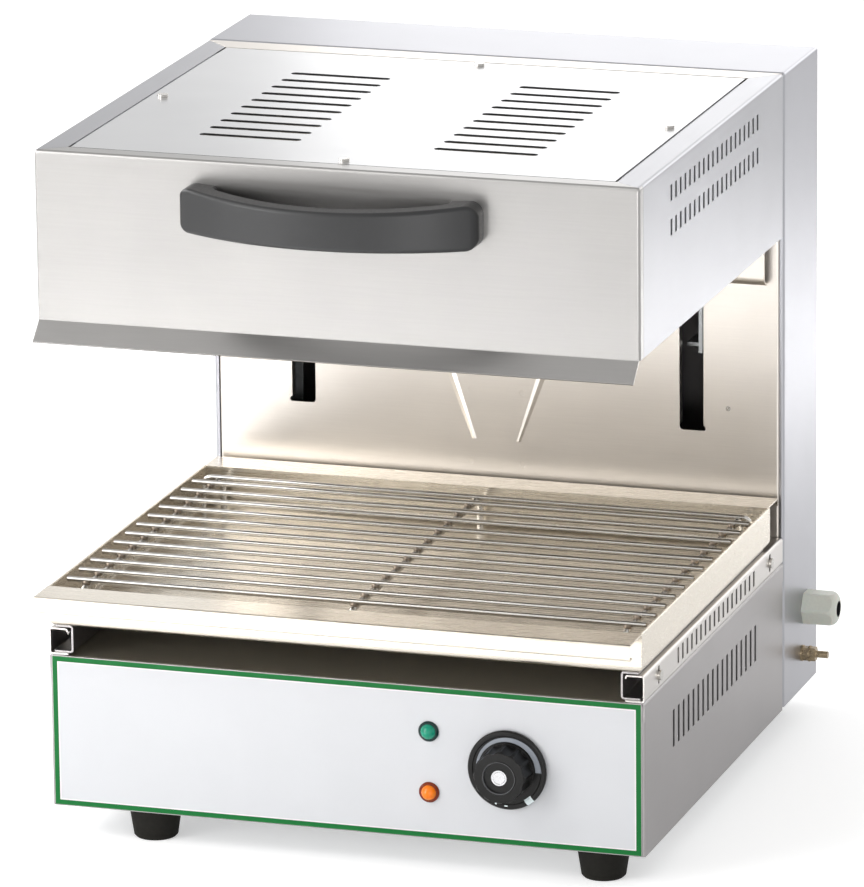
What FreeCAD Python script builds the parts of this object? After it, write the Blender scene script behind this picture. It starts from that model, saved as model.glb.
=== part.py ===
import FreeCAD, Part
import math
import os

V = FreeCAD.Vector

# A counter-top grill whose heated hood is lifted by hand on a rear column.
# Millimetres. X is across, seen from the front; Y runs from the front to the
# back, zero at the column's front face; Z is up from the counter.

# Driving sizes of the whole machine
body_width = 450.0
foot_height = 23.0
base_height = 115.0
base_depth = 372.0
column_height = 490.8
column_depth = 94.8
column_lap = 0.6
column_step = 1.6
hood_height = 124.4
hood_reach = 378.8
hood_gap = 2.6
lift_travel = 150.0
sheet = 1.2
bend = 1.0
overrun = 5.0
fit_gap = 0.3
touch_gap = 0.1
shaft_gap = 0.05

half_width = body_width / 2
base_top = foot_height + base_height
column_half = half_width + column_lap
column_bottom = foot_height + column_step
column_top = column_bottom + column_height
hood_top = column_top
hood_bottom = hood_top - hood_height

# Base box
flange_width = 12.0
front_plate_inset = 1.8
front_plate_margin = 0.5
overlay_thickness = 0.25
overlay_margin = 0.7
bottom_flange = 12.0
side_gap = 0.2
base_slot_count = 18
base_slot_pitch = 12.85
base_slot_width = 5.0
base_slot_height = 28.0
base_slot_first = 78.0
base_slot_drop = 26.5

# Feet
foot_top_radius = 19.5
foot_bottom_radius = 16.2
foot_edge = 1.5
foot_recess_radius = 8.0
foot_recess_depth = 11.0
foot_front_inset = 22.0
foot_rear_inset = 30.0
foot_left_inset = 72.0
foot_right_inset = 37.0
foot_screw_radius = 3.0
foot_screw_head_radius = 6.0
foot_screw_head = 4.0
foot_nut_flats = 10.0
foot_nut_height = 5.0

# Tray rails and runners
rail_height = 20.0
rail_flange = 14.5
rail_curl = 2.8
rail_end_gap = 1.5
small_slot_count = 18
small_slot_pitch = 11.9
small_slot_width = 4.5
small_slot_height = 12.0
rail_slot_first = 82.0
rail_screw_inset = 37.5
rail_screw_radius = 2.0
rail_screw_head_radius = 3.8
rail_screw_head = 2.2
rail_hole_length = 14.0
rail_nut_flats = 7.0
rail_nut_height = 2.8
runner_sheet = 1.5
runner_inset = 18.0
runner_foot = 14.5
runner_top = 13.0
runner_rear_gap = 6.0

# Tray pan
pan_clearance = 2.0
pan_depth = 30.2
pan_sheet = 1.0
pan_side_gap = 1.0
pan_bottom_radius = 5.0
pan_front_lap = 2.5
pan_rear = 33.5
pan_hem_height = 8.0
pan_rim_radius = 0.8
lip_depth = 29.8
lip_drop = 12.0
lip_return = 7.0
rear_flange_gap = 5.0
rear_flange_inset = 1.5
rear_flange_drop = 6.0

# Wire grid
wire_radius = 2.0
crossbar_radius = 2.5
wire_count = 12
wire_reach = 219.0
wire_front = 345.5
wire_back = 73.0
crossbar_places = (-205.0, 0.0, 205.0)
crossbar_front = 352.0
crossbar_back = 42.5
crossbar_bend = 7.0
rear_wire = 57.0
rear_wire_reach = 216.0

# Column
column_flange = 3.6
column_rear_flange = 12.0
column_hem = 8.0
column_corner = 2.2
panel_return = 10.0
slot_centre = 153.6
slot_width = 18.8
slot_bottom_gap = 6.5
slot_top_drop = 6.0
slot_corner = 3.0
slot_flange = 8.0
slot_flange_rise = 4.0
slot_notch = 1.7
flute_foot_rise = 79.5
flute_height = 120.0
flute_foot_place = 17.5
flute_lean = 0.35
flute_foot_width = 3.4
flute_top_width = 11.5
flute_depth = 1.6
rivet_radius = 1.5
rivet_head = 0.4
rivet_tail = 1.0
rivet_head_radius = 1.9
weld_place = 20.5
weld_rises = (61.8, 117.5)
weld_radius = 2.2
weld_depth = 0.25
cover_margin = 6.0
cover_screw_radius = 2.0
cover_screw_head_radius = 4.0
cover_screw_head = 2.4
cover_screw_length = 8.0
cover_slot_count = 12
cover_slot_pitch = 24.0
cover_slot_length = 40.0
cover_slot_width = 4.0
cover_slot_low = 60.0
cover_slot_high = 60.0

# Lift gear
carriage_sheet = 3.0
carriage_inner = 158.4
carriage_front = 3.0
carriage_depth = 25.0
carriage_drop = 95.0
carriage_top_gap = 12.0
arm_low_gap = 2.0
arm_flange = 20.0
arm_screw_radius = 3.0
arm_screw_head_radius = 5.2
arm_screw_head = 3.2
arm_screw_inset = 16.0
roller_radius = 14.75
roller_width = 7.0
roller_side_gap = 1.2
roller_hub_radius = 5.0
roller_pin_radius = 3.0
roller_pin_head_radius = 5.0
roller_pin_head = 1.5
roller_collar = 2.3
roller_low_rise = 32.0
roller_high_drop = 26.0
roller_groove = 1.5
guide_sheet = 1.5
guide_side_gap = 1.0
guide_flange = 14.0
guide_bottom_rise = 20.0
guide_top_gap = 4.0
guide_rivet_inset = 6.5
guide_rivet_low = 117.4
rope_radius = 1.5
rope_line_inset = 8.5
rope_plane = 42.0
pulley_radius = 31.0
pulley_flange = 4.0
pulley_width = 11.0
pulley_top_gap = 9.0
axle_radius = 4.0
axle_head = 1.5
axle_head_radius = 6.0
bracket_sheet = 2.0
bracket_side_gap = 1.0
bracket_half_width = 16.0
bracket_drop = 12.0
lug_height = 6.0
lug_margin = 6.0
weight_half_width = 112.0
weight_depth = 50.0
weight_height = 105.0
weight_rise = 20.0
weight_chamfer = 3.0
anchor_radius = 5.0
anchor_height = 8.0

# Hood
hood_corner = 2.4
hood_seam_set = 9.0
corner_tab = 12.0
seam = 0.4
top_border_side = 20.5
top_border_front = 14.5
top_border_rear = 20.5
plate_gap = 2.0
plate_front_gap = 1.0
ledge_width = 17.0
ledge_lap = 2.4
hood_slot_count = 20
hood_slot_pitch = 11.96
hood_slot_width = 4.5
hood_slot_first = 72.0
hood_slot_rows = (21.5, 46.5)
hood_side_flange = 12.0
top_slot_count = 10
top_slot_pitch = 22.8
top_slot_length = 77.0
top_slot_width = 7.0
top_slot_centre = 88.5
top_slot_first = 95.5
plate_screw_inset = 9.5
plate_screw_radius = 2.0
plate_screw_head_radius = 3.9
plate_screw_head = 2.0
plate_screw_length = 8.0
lip_flare = 14.5
lip_fall = 13.4
lip_inset = 1.1
rear_wall_set = 8.8
skirt_drop = 37.5
skirt_inset = 12.0
skirt_return = 6.0
skirt_radius = 5.5
rear_cap_drop = 9.0

# Heater
reflector_sheet = 0.8
reflector_rim = 9.0
reflector_height = 52.0
reflector_slope = 22.0
reflector_edge_gap = 1.0
insulation_thickness = 40.0
insulation_inset = 6.0
element_radius = 4.2
element_drop = 20.0
element_pitch = 66.0
element_reach = 176.0
element_pair_shares = (0.285, 0.681)
element_end = 219.0
bush_radius = 7.5
bush_length = 22.0
bush_inner_place = 190.0
support_sheet = 1.0
support_height = 12.0
support_places = (-118.0, 118.0)
support_margin = 14.0

# Handle
handle_length = 222.0
handle_height = 33.5
handle_dip = 5.0
handle_reach = 46.0
handle_end_reach = 15.0
handle_grip = 16.5
handle_foot = 25.0
handle_drop = 49.4
handle_end_radius = 9.0
handle_crook_radius = 4.0
handle_edge = 3.0
handle_face_corner = 9.0
handle_screw_radius = 2.5
handle_screw_head_radius = 4.6
handle_screw_head = 3.0
handle_screw_depth = 9.0

# Controls
knob_place = 123.7
knob_height = 57.9
knob_radius = 29.4
knob_gap = 1.0
knob_skirt = 3.4
knob_dish = 0.5
knob_rim = 3.6
knob_hub_radius = 19.8
knob_hub_top_radius = 19.3
knob_total = 23.5
knob_lobes = 12
knob_groove_radius = 9.0
knob_valley_radius = 18.1
knob_recess_radius = 11.4
knob_recess = 1.6
knob_bead = 0.6
knob_cap_radius = 5.7
knob_cap_thickness = 1.8
knob_cap_seat = 0.4
knob_cap_rim = 0.9
knob_cap_dish = 0.6
knob_core_depth = 7.0
shaft_radius = 3.0
bush_hole_radius = 5.0
thermostat_width = 40.0
thermostat_height = 48.0
thermostat_depth = 34.0
thermostat_wall_gap = 3.0
thermostat_nut_height = 2.4
thermostat_nut_radius = 8.5
lamp_place = 64.2
lamp_heights = (35.4, 81.1)
lamp_hole_radius = 5.8
lamp_bezel_radius = 7.6
lamp_bezel = 2.0
lamp_lens_radius = 5.6
lamp_dome = 4.4
lamp_body_length = 26.0
lamp_nut_radius = 8.0
lamp_nut_height = 2.5

# Cable gland, earth stud and terminal block
gland_place = 62.4
gland_rise = 63.5
gland_hole_radius = 10.0
gland_flange_flats = 24.4
gland_flange_corner = 13.6
gland_flange = 5.5
gland_cap_flats = 24.0
gland_cap_corner = 13.4
gland_cap_length = 20.5
gland_dome_radius = 7.0
gland_bore_radius = 5.8
gland_inside = 12.0
gland_nut_flats = 24.0
gland_nut_height = 4.5
earth_place = 52.2
earth_rise = 29.5
earth_radius = 3.0
earth_tip_radius = 2.68
earth_tip_taper = 0.8
earth_length = 20.5
earth_head = 4.0
earth_head_radius = 6.0
earth_washer_radius = 6.2
earth_washer = 1.4
earth_nut_flats = 10.0
earth_nut_height = 4.2
terminal_width = 22.0
terminal_length = 46.0
terminal_height = 24.0
terminal_front = 120.0
terminal_hole_radius = 2.6
terminal_hole_count = 4
terminal_hole_depth = 12.0

# Places worked out from the sizes above
rail_bottom = base_top
rail_top = rail_bottom + rail_height
pan_bottom = rail_top + pan_clearance
rim_top = pan_bottom + pan_depth
pan_floor = pan_bottom + pan_sheet
pan_half = half_width - pan_side_gap
pan_front = -base_depth - pan_front_lap
front_plane = -base_depth
panel_half = column_half - column_flange
panel_bottom = base_top + fit_gap
panel_top = column_top - sheet - touch_gap
slot_bottom = hood_bottom + arm_low_gap - lift_travel - slot_bottom_gap
slot_top = hood_top - slot_top_drop
carriage_outer = carriage_inner + carriage_sheet
carriage_bottom = hood_bottom - carriage_drop
carriage_top = hood_top - carriage_top_gap
roller_plane = sheet + fit_gap + roller_radius
roller_inner = carriage_outer + roller_side_gap + roller_collar
roller_outer = roller_inner + roller_width
roller_levels = (carriage_bottom + roller_low_rise, carriage_top - roller_high_drop)
guide_inner = roller_outer + roller_side_gap + guide_side_gap
rope_outer = carriage_inner - rope_line_inset
pulley_centre = rope_outer - pulley_radius
rope_inner = pulley_centre - pulley_radius
pulley_root = pulley_radius - rope_radius - fit_gap
pulley_outer = pulley_root + pulley_flange
pulley_level = column_top - sheet - bracket_sheet - pulley_top_gap - pulley_outer
weight_bottom = column_bottom + weight_rise
weight_top = weight_bottom + weight_height
rear_wall_front = -rear_wall_set - sheet
skirt_bottom = hood_bottom - skirt_drop
skirt_half_width = half_width - skirt_inset
gland_level = foot_height + gland_rise
gland_tip = column_half + gland_flange + gland_cap_length
element_pair_places = [share * hood_reach for share in element_pair_shares]
grid_level = rim_top - wire_radius - touch_gap
crossbar_level = grid_level - wire_radius - crossbar_radius

# The machine stands on the middle of its own outline, so every piece is moved
# from the working axes by half of what stands out unevenly.
handle_front = -hood_reach - handle_reach
left_end = -half_width - rail_screw_head
rear_end = column_depth + cover_screw_head
frame_shift = V(-(gland_tip + left_end) / 2, -(rear_end + handle_front) / 2, 0)

PIECES = {}


def block(x0, x1, y0, y1, z0, z1):
    return Part.makeBox(x1 - x0, y1 - y0, z1 - z0, V(x0, y0, z0))


def rod(start, end, radius):
    along = end - start
    return Part.makeCylinder(radius, along.Length, start, along)


def hexagon(centre, direction, across_flats, height):
    """A hexagonal nut blank, standing on its centre along X, Y or Z."""
    corner = across_flats / math.sqrt(3)
    turns = [math.radians(60 * k) for k in range(6)]
    flat = [(corner * math.cos(a), corner * math.sin(a)) for a in turns]
    if abs(direction.x) > 0:
        points = [centre + V(0, u, v) for u, v in flat]
    elif abs(direction.y) > 0:
        points = [centre + V(u, 0, v) for u, v in flat]
    else:
        points = [centre + V(u, v, 0) for u, v in flat]
    face = Part.Face(Part.makePolygon(points + points[:1]))
    return face.extrude(direction * height)


def spot(axis, u, v):
    """A section's own two coordinates, as a point in the plane across an axis."""
    return {"x": V(0, u, v), "y": V(u, 0, v), "z": V(u, v, 0)}[axis]


def outline(axis, points, at):
    """A flat face from a closed list of points, at a place along an axis."""
    shift = {"x": V(at, 0, 0), "y": V(0, at, 0), "z": V(0, 0, at)}[axis]
    corners = [spot(axis, u, v) + shift for u, v in points]
    return Part.Face(Part.makePolygon(corners + corners[:1]))


def plate(axis, points, start, end):
    """A flat outline pushed along an axis."""
    push = {"x": V(1, 0, 0), "y": V(0, 1, 0), "z": V(0, 0, 1)}[axis]
    return outline(axis, points, start).extrude(push * (end - start))


def folded(axis, points, thickness, side, start, end, inner=bend):
    """A folded sheet, pushed along an axis.

    The points follow one face of the sheet. The sheet lies to the left of
    their direction for side 1, to the right for side -1.
    """
    flat = [V(u, v, 0) for u, v in points]
    heads = [(b - a).normalize() for a, b in zip(flat, flat[1:])]
    lefts = [V(-d.y, d.x, 0) for d in heads]
    near = []
    far = []
    last_near = flat[0]
    last_far = flat[0] + lefts[0] * side * thickness
    for k in range(1, len(heads)):
        turn = heads[k - 1].x * heads[k].y - heads[k - 1].y * heads[k].x
        way = 1 if turn > 0 else -1
        angle = math.acos(max(-1, min(1, heads[k - 1].dot(heads[k]))))
        radius = inner + thickness if way == side else inner
        reach = radius * math.tan(angle / 2)
        into = flat[k] - heads[k - 1] * reach
        out = flat[k] + heads[k] * reach
        hub = into + lefts[k - 1] * way * radius
        ray = (flat[k] - hub).normalize()
        other = radius - way * side * thickness
        into_far = into + lefts[k - 1] * side * thickness
        out_far = out + lefts[k] * side * thickness
        near.append(Part.LineSegment(last_near, into))
        near.append(Part.Arc(into, hub + ray * radius, out))
        far.append(Part.LineSegment(last_far, into_far))
        far.append(Part.Arc(into_far, hub + ray * other, out_far))
        last_near = out
        last_far = out_far
    end_near = flat[-1]
    end_far = flat[-1] + lefts[-1] * side * thickness
    near.append(Part.LineSegment(last_near, end_near))
    far.append(Part.LineSegment(last_far, end_far))
    cap_end = Part.LineSegment(end_near, end_far)
    cap_start = Part.LineSegment(flat[0] + lefts[0] * side * thickness, flat[0])
    curves = near + [cap_end] + far[::-1] + [cap_start]
    wire = Part.Wire(Part.__sortEdges__([c.toShape() for c in curves]))
    section = Part.Face(wire)
    stance = {
        "x": FreeCAD.Placement(V(start, 0, 0), FreeCAD.Rotation(V(1, 1, 1), 120)),
        "y": FreeCAD.Placement(V(0, start, 0), FreeCAD.Rotation(V(1, 0, 0), 90)),
        "z": FreeCAD.Placement(V(0, 0, start), FreeCAD.Rotation()),
    }[axis]
    push = {"x": V(1, 0, 0), "y": V(0, 1, 0), "z": V(0, 0, 1)}[axis]
    section.Placement = stance
    return section.extrude(push * (end - start))


def turned(axis, centre, points):
    """A solid of revolution from (radius, place along the axis) points."""
    push = {"x": V(1, 0, 0), "y": V(0, 1, 0), "z": V(0, 0, 1)}[axis]
    across = {"x": V(0, 1, 0), "y": V(1, 0, 0), "z": V(1, 0, 0)}[axis]
    corners = [centre + across * r + push * s for r, s in points]
    face = Part.Face(Part.makePolygon(corners + corners[:1]))
    return face.revolve(centre, push, 360)


def rounded_slot(axis, centre, length, width, depth):
    """A cutter with round ends; length lies along X for Z, along Z for X and Y."""
    push = {"x": V(1, 0, 0), "y": V(0, 1, 0), "z": V(0, 0, 1)}[axis]
    long_way = V(1, 0, 0) if axis == "z" else V(0, 0, 1)
    wide_way = push.cross(long_way)
    half = long_way * ((length - width) / 2)
    side = wide_way * (width / 2)
    low = centre - push * (depth / 2)
    a, b = low - half - side, low + half - side
    c, d = low + half + side, low - half + side
    wire = Part.Wire([
        Part.LineSegment(a, b).toShape(),
        Part.Arc(b, low + half + long_way * (width / 2), c).toShape(),
        Part.LineSegment(c, d).toShape(),
        Part.Arc(d, low - half - long_way * (width / 2), a).toShape(),
    ])
    return Part.Face(wire).extrude(push * depth)


def mirrored(shape):
    return shape.mirror(V(0, 0, 0), V(1, 0, 0))


def both(shape):
    return [shape, mirrored(shape)]


def cut_all(shape, cutters):
    return shape.cut(Part.makeCompound(cutters)) if cutters else shape


def keep(name, *shapes):
    """One node, from one or more solids."""
    solids = [s for shape in shapes for s in shape.Solids]
    PIECES[name] = solids[0] if len(solids) == 1 else Part.makeCompound(solids)


def edges_where(shape, test):
    """The shape's edges whose two ends both pass a test."""
    return [e for e in shape.Edges if all(test(v.Point) for v in e.Vertexes)]


def same(a, b):
    return abs(a - b) < touch_gap / 10


def screw(tip, head_side, length, radius, head_radius, head):
    """A screw whose shank ends at tip and whose head lies on head_side."""
    seat = tip + head_side * length
    shank = rod(tip, seat, radius)
    cap = rod(seat, seat + head_side * head, head_radius)
    return shank.fuse(cap).removeSplitter()


def side_slots(first, count, pitch, width, low, high, outer):
    """Cutters for a row of upright slots through a right-hand side wall."""
    row = []
    for k in range(count):
        middle = -first - k * pitch
        row.append(block(outer - overrun, outer + overrun,
                         middle - width / 2, middle + width / 2, low, high))
    return row


def base_sides():
    plan = [(half_width - flange_width, front_plane + sheet),
            (half_width, front_plane + sheet),
            (half_width, 0),
            (half_width - flange_width, 0)]
    wall = folded("z", plan, sheet, 1, foot_height, base_top - sheet - bend)
    crown = [(half_width, base_top - sheet - bend - flange_width),
             (half_width, base_top),
             (half_width - flange_width, base_top)]
    top = folded("y", crown, sheet, 1, front_plane + sheet, 0)
    side = wall.fuse(top)
    slot_high = base_top - base_slot_drop
    slots = side_slots(base_slot_first, base_slot_count, base_slot_pitch, base_slot_width,
                       slot_high - base_slot_height, slot_high, half_width)
    side = cut_all(side, slots).removeSplitter()
    keep("base_side_right", side)
    keep("base_side_left", mirrored(side))


def lamp_centres():
    return [V(lamp_place, front_plane, foot_height + h) for h in lamp_heights]


def knob_centre():
    return V(knob_place, front_plane, foot_height + knob_height)


def control_holes(radius_lamp, radius_bush):
    back = V(0, overrun, 0)
    holes = [rod(c - back, c + back, radius_lamp) for c in lamp_centres()]
    holes.append(rod(knob_centre() - back, knob_centre() + back, radius_bush))
    return holes


def base_front():
    edge = half_width - front_plate_inset
    low = foot_height + front_plate_margin
    high = base_top - front_plate_margin
    panel = block(-edge, edge, front_plane, front_plane + sheet, low, high)
    upright = edges_where(panel, lambda p: True)
    corners = [e for e in upright if same(e.Length, sheet)]
    panel = panel.makeFillet(bend, corners)
    panel = cut_all(panel, control_holes(lamp_hole_radius, bush_hole_radius))
    keep("base_front_panel", panel)
    film = block(-edge + overlay_margin, edge - overlay_margin,
                 front_plane - overlay_thickness, front_plane,
                 low + overlay_margin, high - overlay_margin)
    film = cut_all(film, control_holes(lamp_hole_radius, bush_hole_radius + fit_gap))
    keep("front_overlay", film)


def foot_places():
    left = -half_width + foot_left_inset
    right = half_width - foot_right_inset
    front = front_plane + foot_front_inset
    rear = column_depth - foot_rear_inset
    return [(x, y) for x in (left, right) for y in (front, rear)]


def base_plates():
    edge = half_width - sheet
    section = [(-edge, foot_height + bottom_flange), (-edge, foot_height),
               (edge, foot_height), (edge, foot_height + bottom_flange)]
    rear = column_depth - sheet - sheet - side_gap
    front = front_plane + 2 * sheet + bend + side_gap
    floor = folded("y", section, sheet, 1, front, rear)
    holes = []
    for x, y in foot_places():
        holes.append(rod(V(x, y, foot_height - overrun), V(x, y, foot_height + overrun),
                         foot_screw_radius + touch_gap))
    notch = block(half_width - flange_width - side_gap, half_width, -sheet - bend - side_gap,
                  sheet + side_gap + column_hem, foot_height - overrun,
                  foot_height + 2 * bottom_flange)
    keep("base_bottom_plate", cut_all(floor, holes + both(notch)))
    edge = half_width - sheet - bend
    lid = [(front, base_top - sheet - flange_width), (front, base_top - sheet),
           (-sheet - side_gap, base_top - sheet)]
    keep("base_top_plate", folded("x", lid, sheet, -1, -edge, edge))


def feet():
    pads = []
    for x, y in foot_places():
        section = [(foot_recess_radius, 0), (foot_bottom_radius - foot_edge, 0),
                   (foot_bottom_radius, foot_edge), (foot_top_radius, foot_height),
                   (foot_screw_radius + touch_gap, foot_height),
                   (foot_screw_radius + touch_gap, foot_recess_depth),
                   (foot_recess_radius, foot_recess_depth)]
        pads.append(turned("z", V(x, y, 0), section))
    keep("feet", *pads)


def housing_screws():
    screws = []
    for x, y in foot_places():
        length = foot_height - foot_recess_depth + sheet + foot_nut_height + foot_edge
        tip = V(x, y, foot_recess_depth + length)
        bolt = screw(tip, V(0, 0, -1), length, foot_screw_radius,
                     foot_screw_head_radius, foot_screw_head)
        nut = hexagon(V(x, y, foot_height + sheet), V(0, 0, 1), foot_nut_flats,
                      foot_nut_height)
        screws += [bolt, nut.cut(rod(V(x, y, 0), V(x, y, base_top), foot_screw_radius))]
    for x, z in cover_screw_places():
        tip = V(x, column_depth - cover_screw_length, z)
        screws.append(screw(tip, V(0, 1, 0), cover_screw_length, cover_screw_radius,
                            cover_screw_head_radius, cover_screw_head))
    keep("housing_screws", *screws)


def rail_screw_places():
    return [front_plane + rail_screw_inset, -rail_screw_inset]


def rails():
    inner = half_width - rail_flange
    section = [(inner, rail_bottom), (half_width, rail_bottom), (half_width, rail_top),
               (inner, rail_top), (inner, rail_top - rail_curl)]
    rail = folded("y", section, sheet, 1, front_plane + bend, -rail_end_gap)
    middle = rail_bottom + rail_height / 2 + sheet / 2
    low = middle - small_slot_height / 2
    slots = side_slots(rail_slot_first, small_slot_count, small_slot_pitch,
                       small_slot_width, low, low + small_slot_height, half_width)
    for y in rail_screw_places():
        slots.append(rounded_slot("x", V(half_width, y, middle), rail_hole_length,
                                  2 * rail_screw_radius + 2 * touch_gap, 2 * overrun))
    rail = cut_all(rail, slots)
    keep("rail_right", rail)
    keep("rail_left", mirrored(rail))
    screws = []
    for y in rail_screw_places():
        length = sheet + rail_nut_height
        tip = V(half_width - length, y, middle)
        bolt = screw(tip, V(1, 0, 0), length, rail_screw_radius,
                     rail_screw_head_radius, rail_screw_head)
        nut = block(tip.x, half_width - sheet, y - rail_nut_flats / 2,
                    y + rail_nut_flats / 2, middle - rail_nut_flats / 2,
                    middle + rail_nut_flats / 2)
        nut = nut.cut(rod(tip - V(overrun, 0, 0), tip + V(overrun, 0, 0), rail_screw_radius))
        screws += both(bolt) + both(nut)
    keep("rail_screws", *screws)


def tray_pan():
    half = pan_half
    outer = block(-half, half, pan_front, -pan_rear, pan_bottom, rim_top)
    low = edges_where(outer, lambda p: same(p.z, pan_bottom))
    outer = outer.makeFillet(pan_bottom_radius + pan_sheet, low)
    inner = block(-half + pan_sheet, half - pan_sheet, pan_front + pan_sheet,
                  -pan_rear - pan_sheet, pan_floor, rim_top + overrun)
    low = edges_where(inner, lambda p: same(p.z, pan_floor))
    inner = inner.makeFillet(pan_bottom_radius, low)
    pan = outer.cut(inner)
    hem = block(half - 2 * pan_sheet, half, pan_front + pan_sheet, -pan_rear - pan_sheet,
                rim_top - pan_hem_height, rim_top)
    rim = [e for e in hem.Edges if all(same(v.Point.z, rim_top) for v in e.Vertexes)
           and e.Length > pan_rear]
    hem = hem.makeFillet(pan_rim_radius, rim)
    trim = block(half - pan_sheet, half + overrun, pan_front + pan_sheet,
                 -pan_rear - pan_sheet, rim_top - pan_hem_height, rim_top + overrun)
    pan = pan.cut(Part.makeCompound(both(trim)))
    pan = pan.fuse(both(hem))
    lip_front = pan_front - lip_depth
    lip = [(pan_front + pan_sheet, rim_top), (lip_front, rim_top),
           (lip_front, rim_top - lip_drop), (lip_front + lip_return, rim_top - lip_drop)]
    pan = pan.fuse(folded("x", lip, pan_sheet, 1, -half, half))
    back = -rear_flange_gap
    ledge = [(-pan_rear - pan_sheet, rim_top), (back, rim_top),
             (back, rim_top - rear_flange_drop)]
    ledge_half = half - rear_flange_inset
    pan = pan.fuse(folded("x", ledge, pan_sheet, -1, -ledge_half, ledge_half))
    keep("tray_pan", pan.removeSplitter())
    web = half_width - runner_inset
    foot_level = rail_bottom + sheet
    runner = [(web + runner_top, pan_bottom), (web, pan_bottom),
              (web, foot_level), (web + runner_foot, foot_level)]
    profile = folded("y", runner, runner_sheet, 1, pan_front + pan_bottom_radius,
                     -pan_rear - runner_rear_gap)
    keep("tray_runners", *both(profile))


def wire_path(points, radius, turn):
    """A round wire along straight runs joined by tangent arcs."""
    edges = []
    last = points[0]
    for k in range(1, len(points) - 1):
        into = (points[k] - points[k - 1]).normalize()
        out = (points[k + 1] - points[k]).normalize()
        angle = math.acos(max(-1, min(1, into.dot(out))))
        reach = turn * math.tan(angle / 2)
        a = points[k] - into * reach
        b = points[k] + out * reach
        inward = (out - into).normalize()
        hub = points[k] + inward * (turn / math.cos(angle / 2))
        edges.append(Part.LineSegment(last, a).toShape())
        edges.append(Part.Arc(a, hub - inward * turn, b).toShape())
        last = b
    edges.append(Part.LineSegment(last, points[-1]).toShape())
    path = Part.Wire(edges)
    start = (points[1] - points[0]).normalize()
    ring = Part.Wire([Part.makeCircle(radius, points[0], start)])
    return path.makePipeShell([ring], True, False)


def wire_grid():
    wires = []
    pitch = (wire_front - wire_back) / (wire_count - 1)
    for k in range(wire_count):
        y = -wire_back - k * pitch
        wires.append(rod(V(-wire_reach, y, grid_level), V(wire_reach, y, grid_level),
                         wire_radius))
    for x in crossbar_places:
        corners = [V(x, -crossbar_front, pan_floor), V(x, -crossbar_front, crossbar_level),
                   V(x, -crossbar_back, crossbar_level), V(x, -crossbar_back, pan_floor)]
        wires.append(wire_path(corners, crossbar_radius, crossbar_bend))
    corners = [V(-rear_wire_reach, -rear_wire, pan_floor),
               V(-rear_wire_reach, -rear_wire, grid_level),
               V(rear_wire_reach, -rear_wire, grid_level),
               V(rear_wire_reach, -rear_wire, pan_floor)]
    wires.append(wire_path(corners, wire_radius, crossbar_bend))
    keep("wire_grid", *wires)


def column():
    outer = block(-column_half, column_half, 0, column_depth - sheet, column_bottom,
                  column_top)
    crown = [e for e in outer.Edges
             if all(same(v.Point.z, column_top) for v in e.Vertexes)
             or (same(e.Length, column_height)
                 and all(same(v.Point.y, 0) for v in e.Vertexes))]
    outer = outer.makeFillet(column_corner, crown)
    half = column_half - sheet
    inner = block(-half, half, sheet, column_depth - 2 * sheet, column_bottom - overrun,
                  column_top - sheet)
    front_half = column_half - column_flange
    rear_half = column_half - column_rear_flange
    opening = block(-front_half, front_half, -overrun, sheet + overrun,
                    column_bottom - overrun, column_top - sheet)
    back_hole = block(-rear_half, rear_half, column_depth - overrun, column_depth + overrun,
                      column_bottom + column_rear_flange, column_top - column_rear_flange)
    wall = V(column_half, gland_place, gland_level)
    far = V(overrun, 0, 0)
    gland_hole = rod(wall - far, wall + far, gland_hole_radius)
    stud = V(column_half, earth_place, foot_height + earth_rise)
    stud_hole = rod(stud - far, stud + far, earth_radius + touch_gap)
    pins = []
    for x, z in cover_screw_places():
        pins.append(rod(V(x, column_depth - 2 * overrun, z), V(x, column_depth + overrun, z),
                        cover_screw_radius + touch_gap))
    shell = cut_all(outer, [inner, opening, back_hole, gland_hole, stud_hole] + pins)
    hem = block(front_half, front_half + sheet, sheet / 2, column_hem, column_bottom,
                column_top - sheet)
    keep("column_shell", shell.fuse(both(hem)).removeSplitter())


def cover_screw_places():
    edge = column_half - cover_margin - cover_screw_head_radius
    low = column_bottom + cover_margin + cover_screw_head_radius
    high = column_top - cover_margin - cover_screw_head_radius
    middle = (low + high) / 2
    return [(x, z) for x in (-edge, edge) for z in (low, middle, high)]


def column_cover():
    edge = column_half - cover_margin / 2
    low = column_bottom + cover_margin / 2
    high = column_top - cover_margin / 2
    cover = block(-edge, edge, column_depth - sheet, column_depth, low, high)
    cutters = []
    for x, z in cover_screw_places():
        cutters.append(rod(V(x, column_depth - overrun, z), V(x, column_depth + overrun, z),
                           cover_screw_radius + touch_gap))
    span = (cover_slot_count - 1) * cover_slot_pitch
    for k in range(cover_slot_count):
        x = -span / 2 + k * cover_slot_pitch
        for z in (low + cover_slot_low, high - cover_slot_high):
            cutters.append(block(x - cover_slot_width / 2, x + cover_slot_width / 2,
                                 column_depth - overrun, column_depth + overrun,
                                 z - cover_slot_length / 2, z + cover_slot_length / 2))
    keep("column_back_cover", cut_all(cover, cutters))


def rivet_places():
    """The rivets that hold the guide rails, as (x, z) on the panel."""
    x = guide_inner + guide_sheet + guide_rivet_inset
    low = base_top + guide_rivet_low
    high = slot_top - guide_rivet_inset
    return [(side * x, z) for side in (-1, 1) for z in (low, (low + high) / 2, high)]


def rivet_holes():
    holes = []
    for x, z in rivet_places():
        holes.append(rod(V(x, -overrun, z), V(x, overrun, z), rivet_radius + shaft_gap))
    return holes


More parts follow.
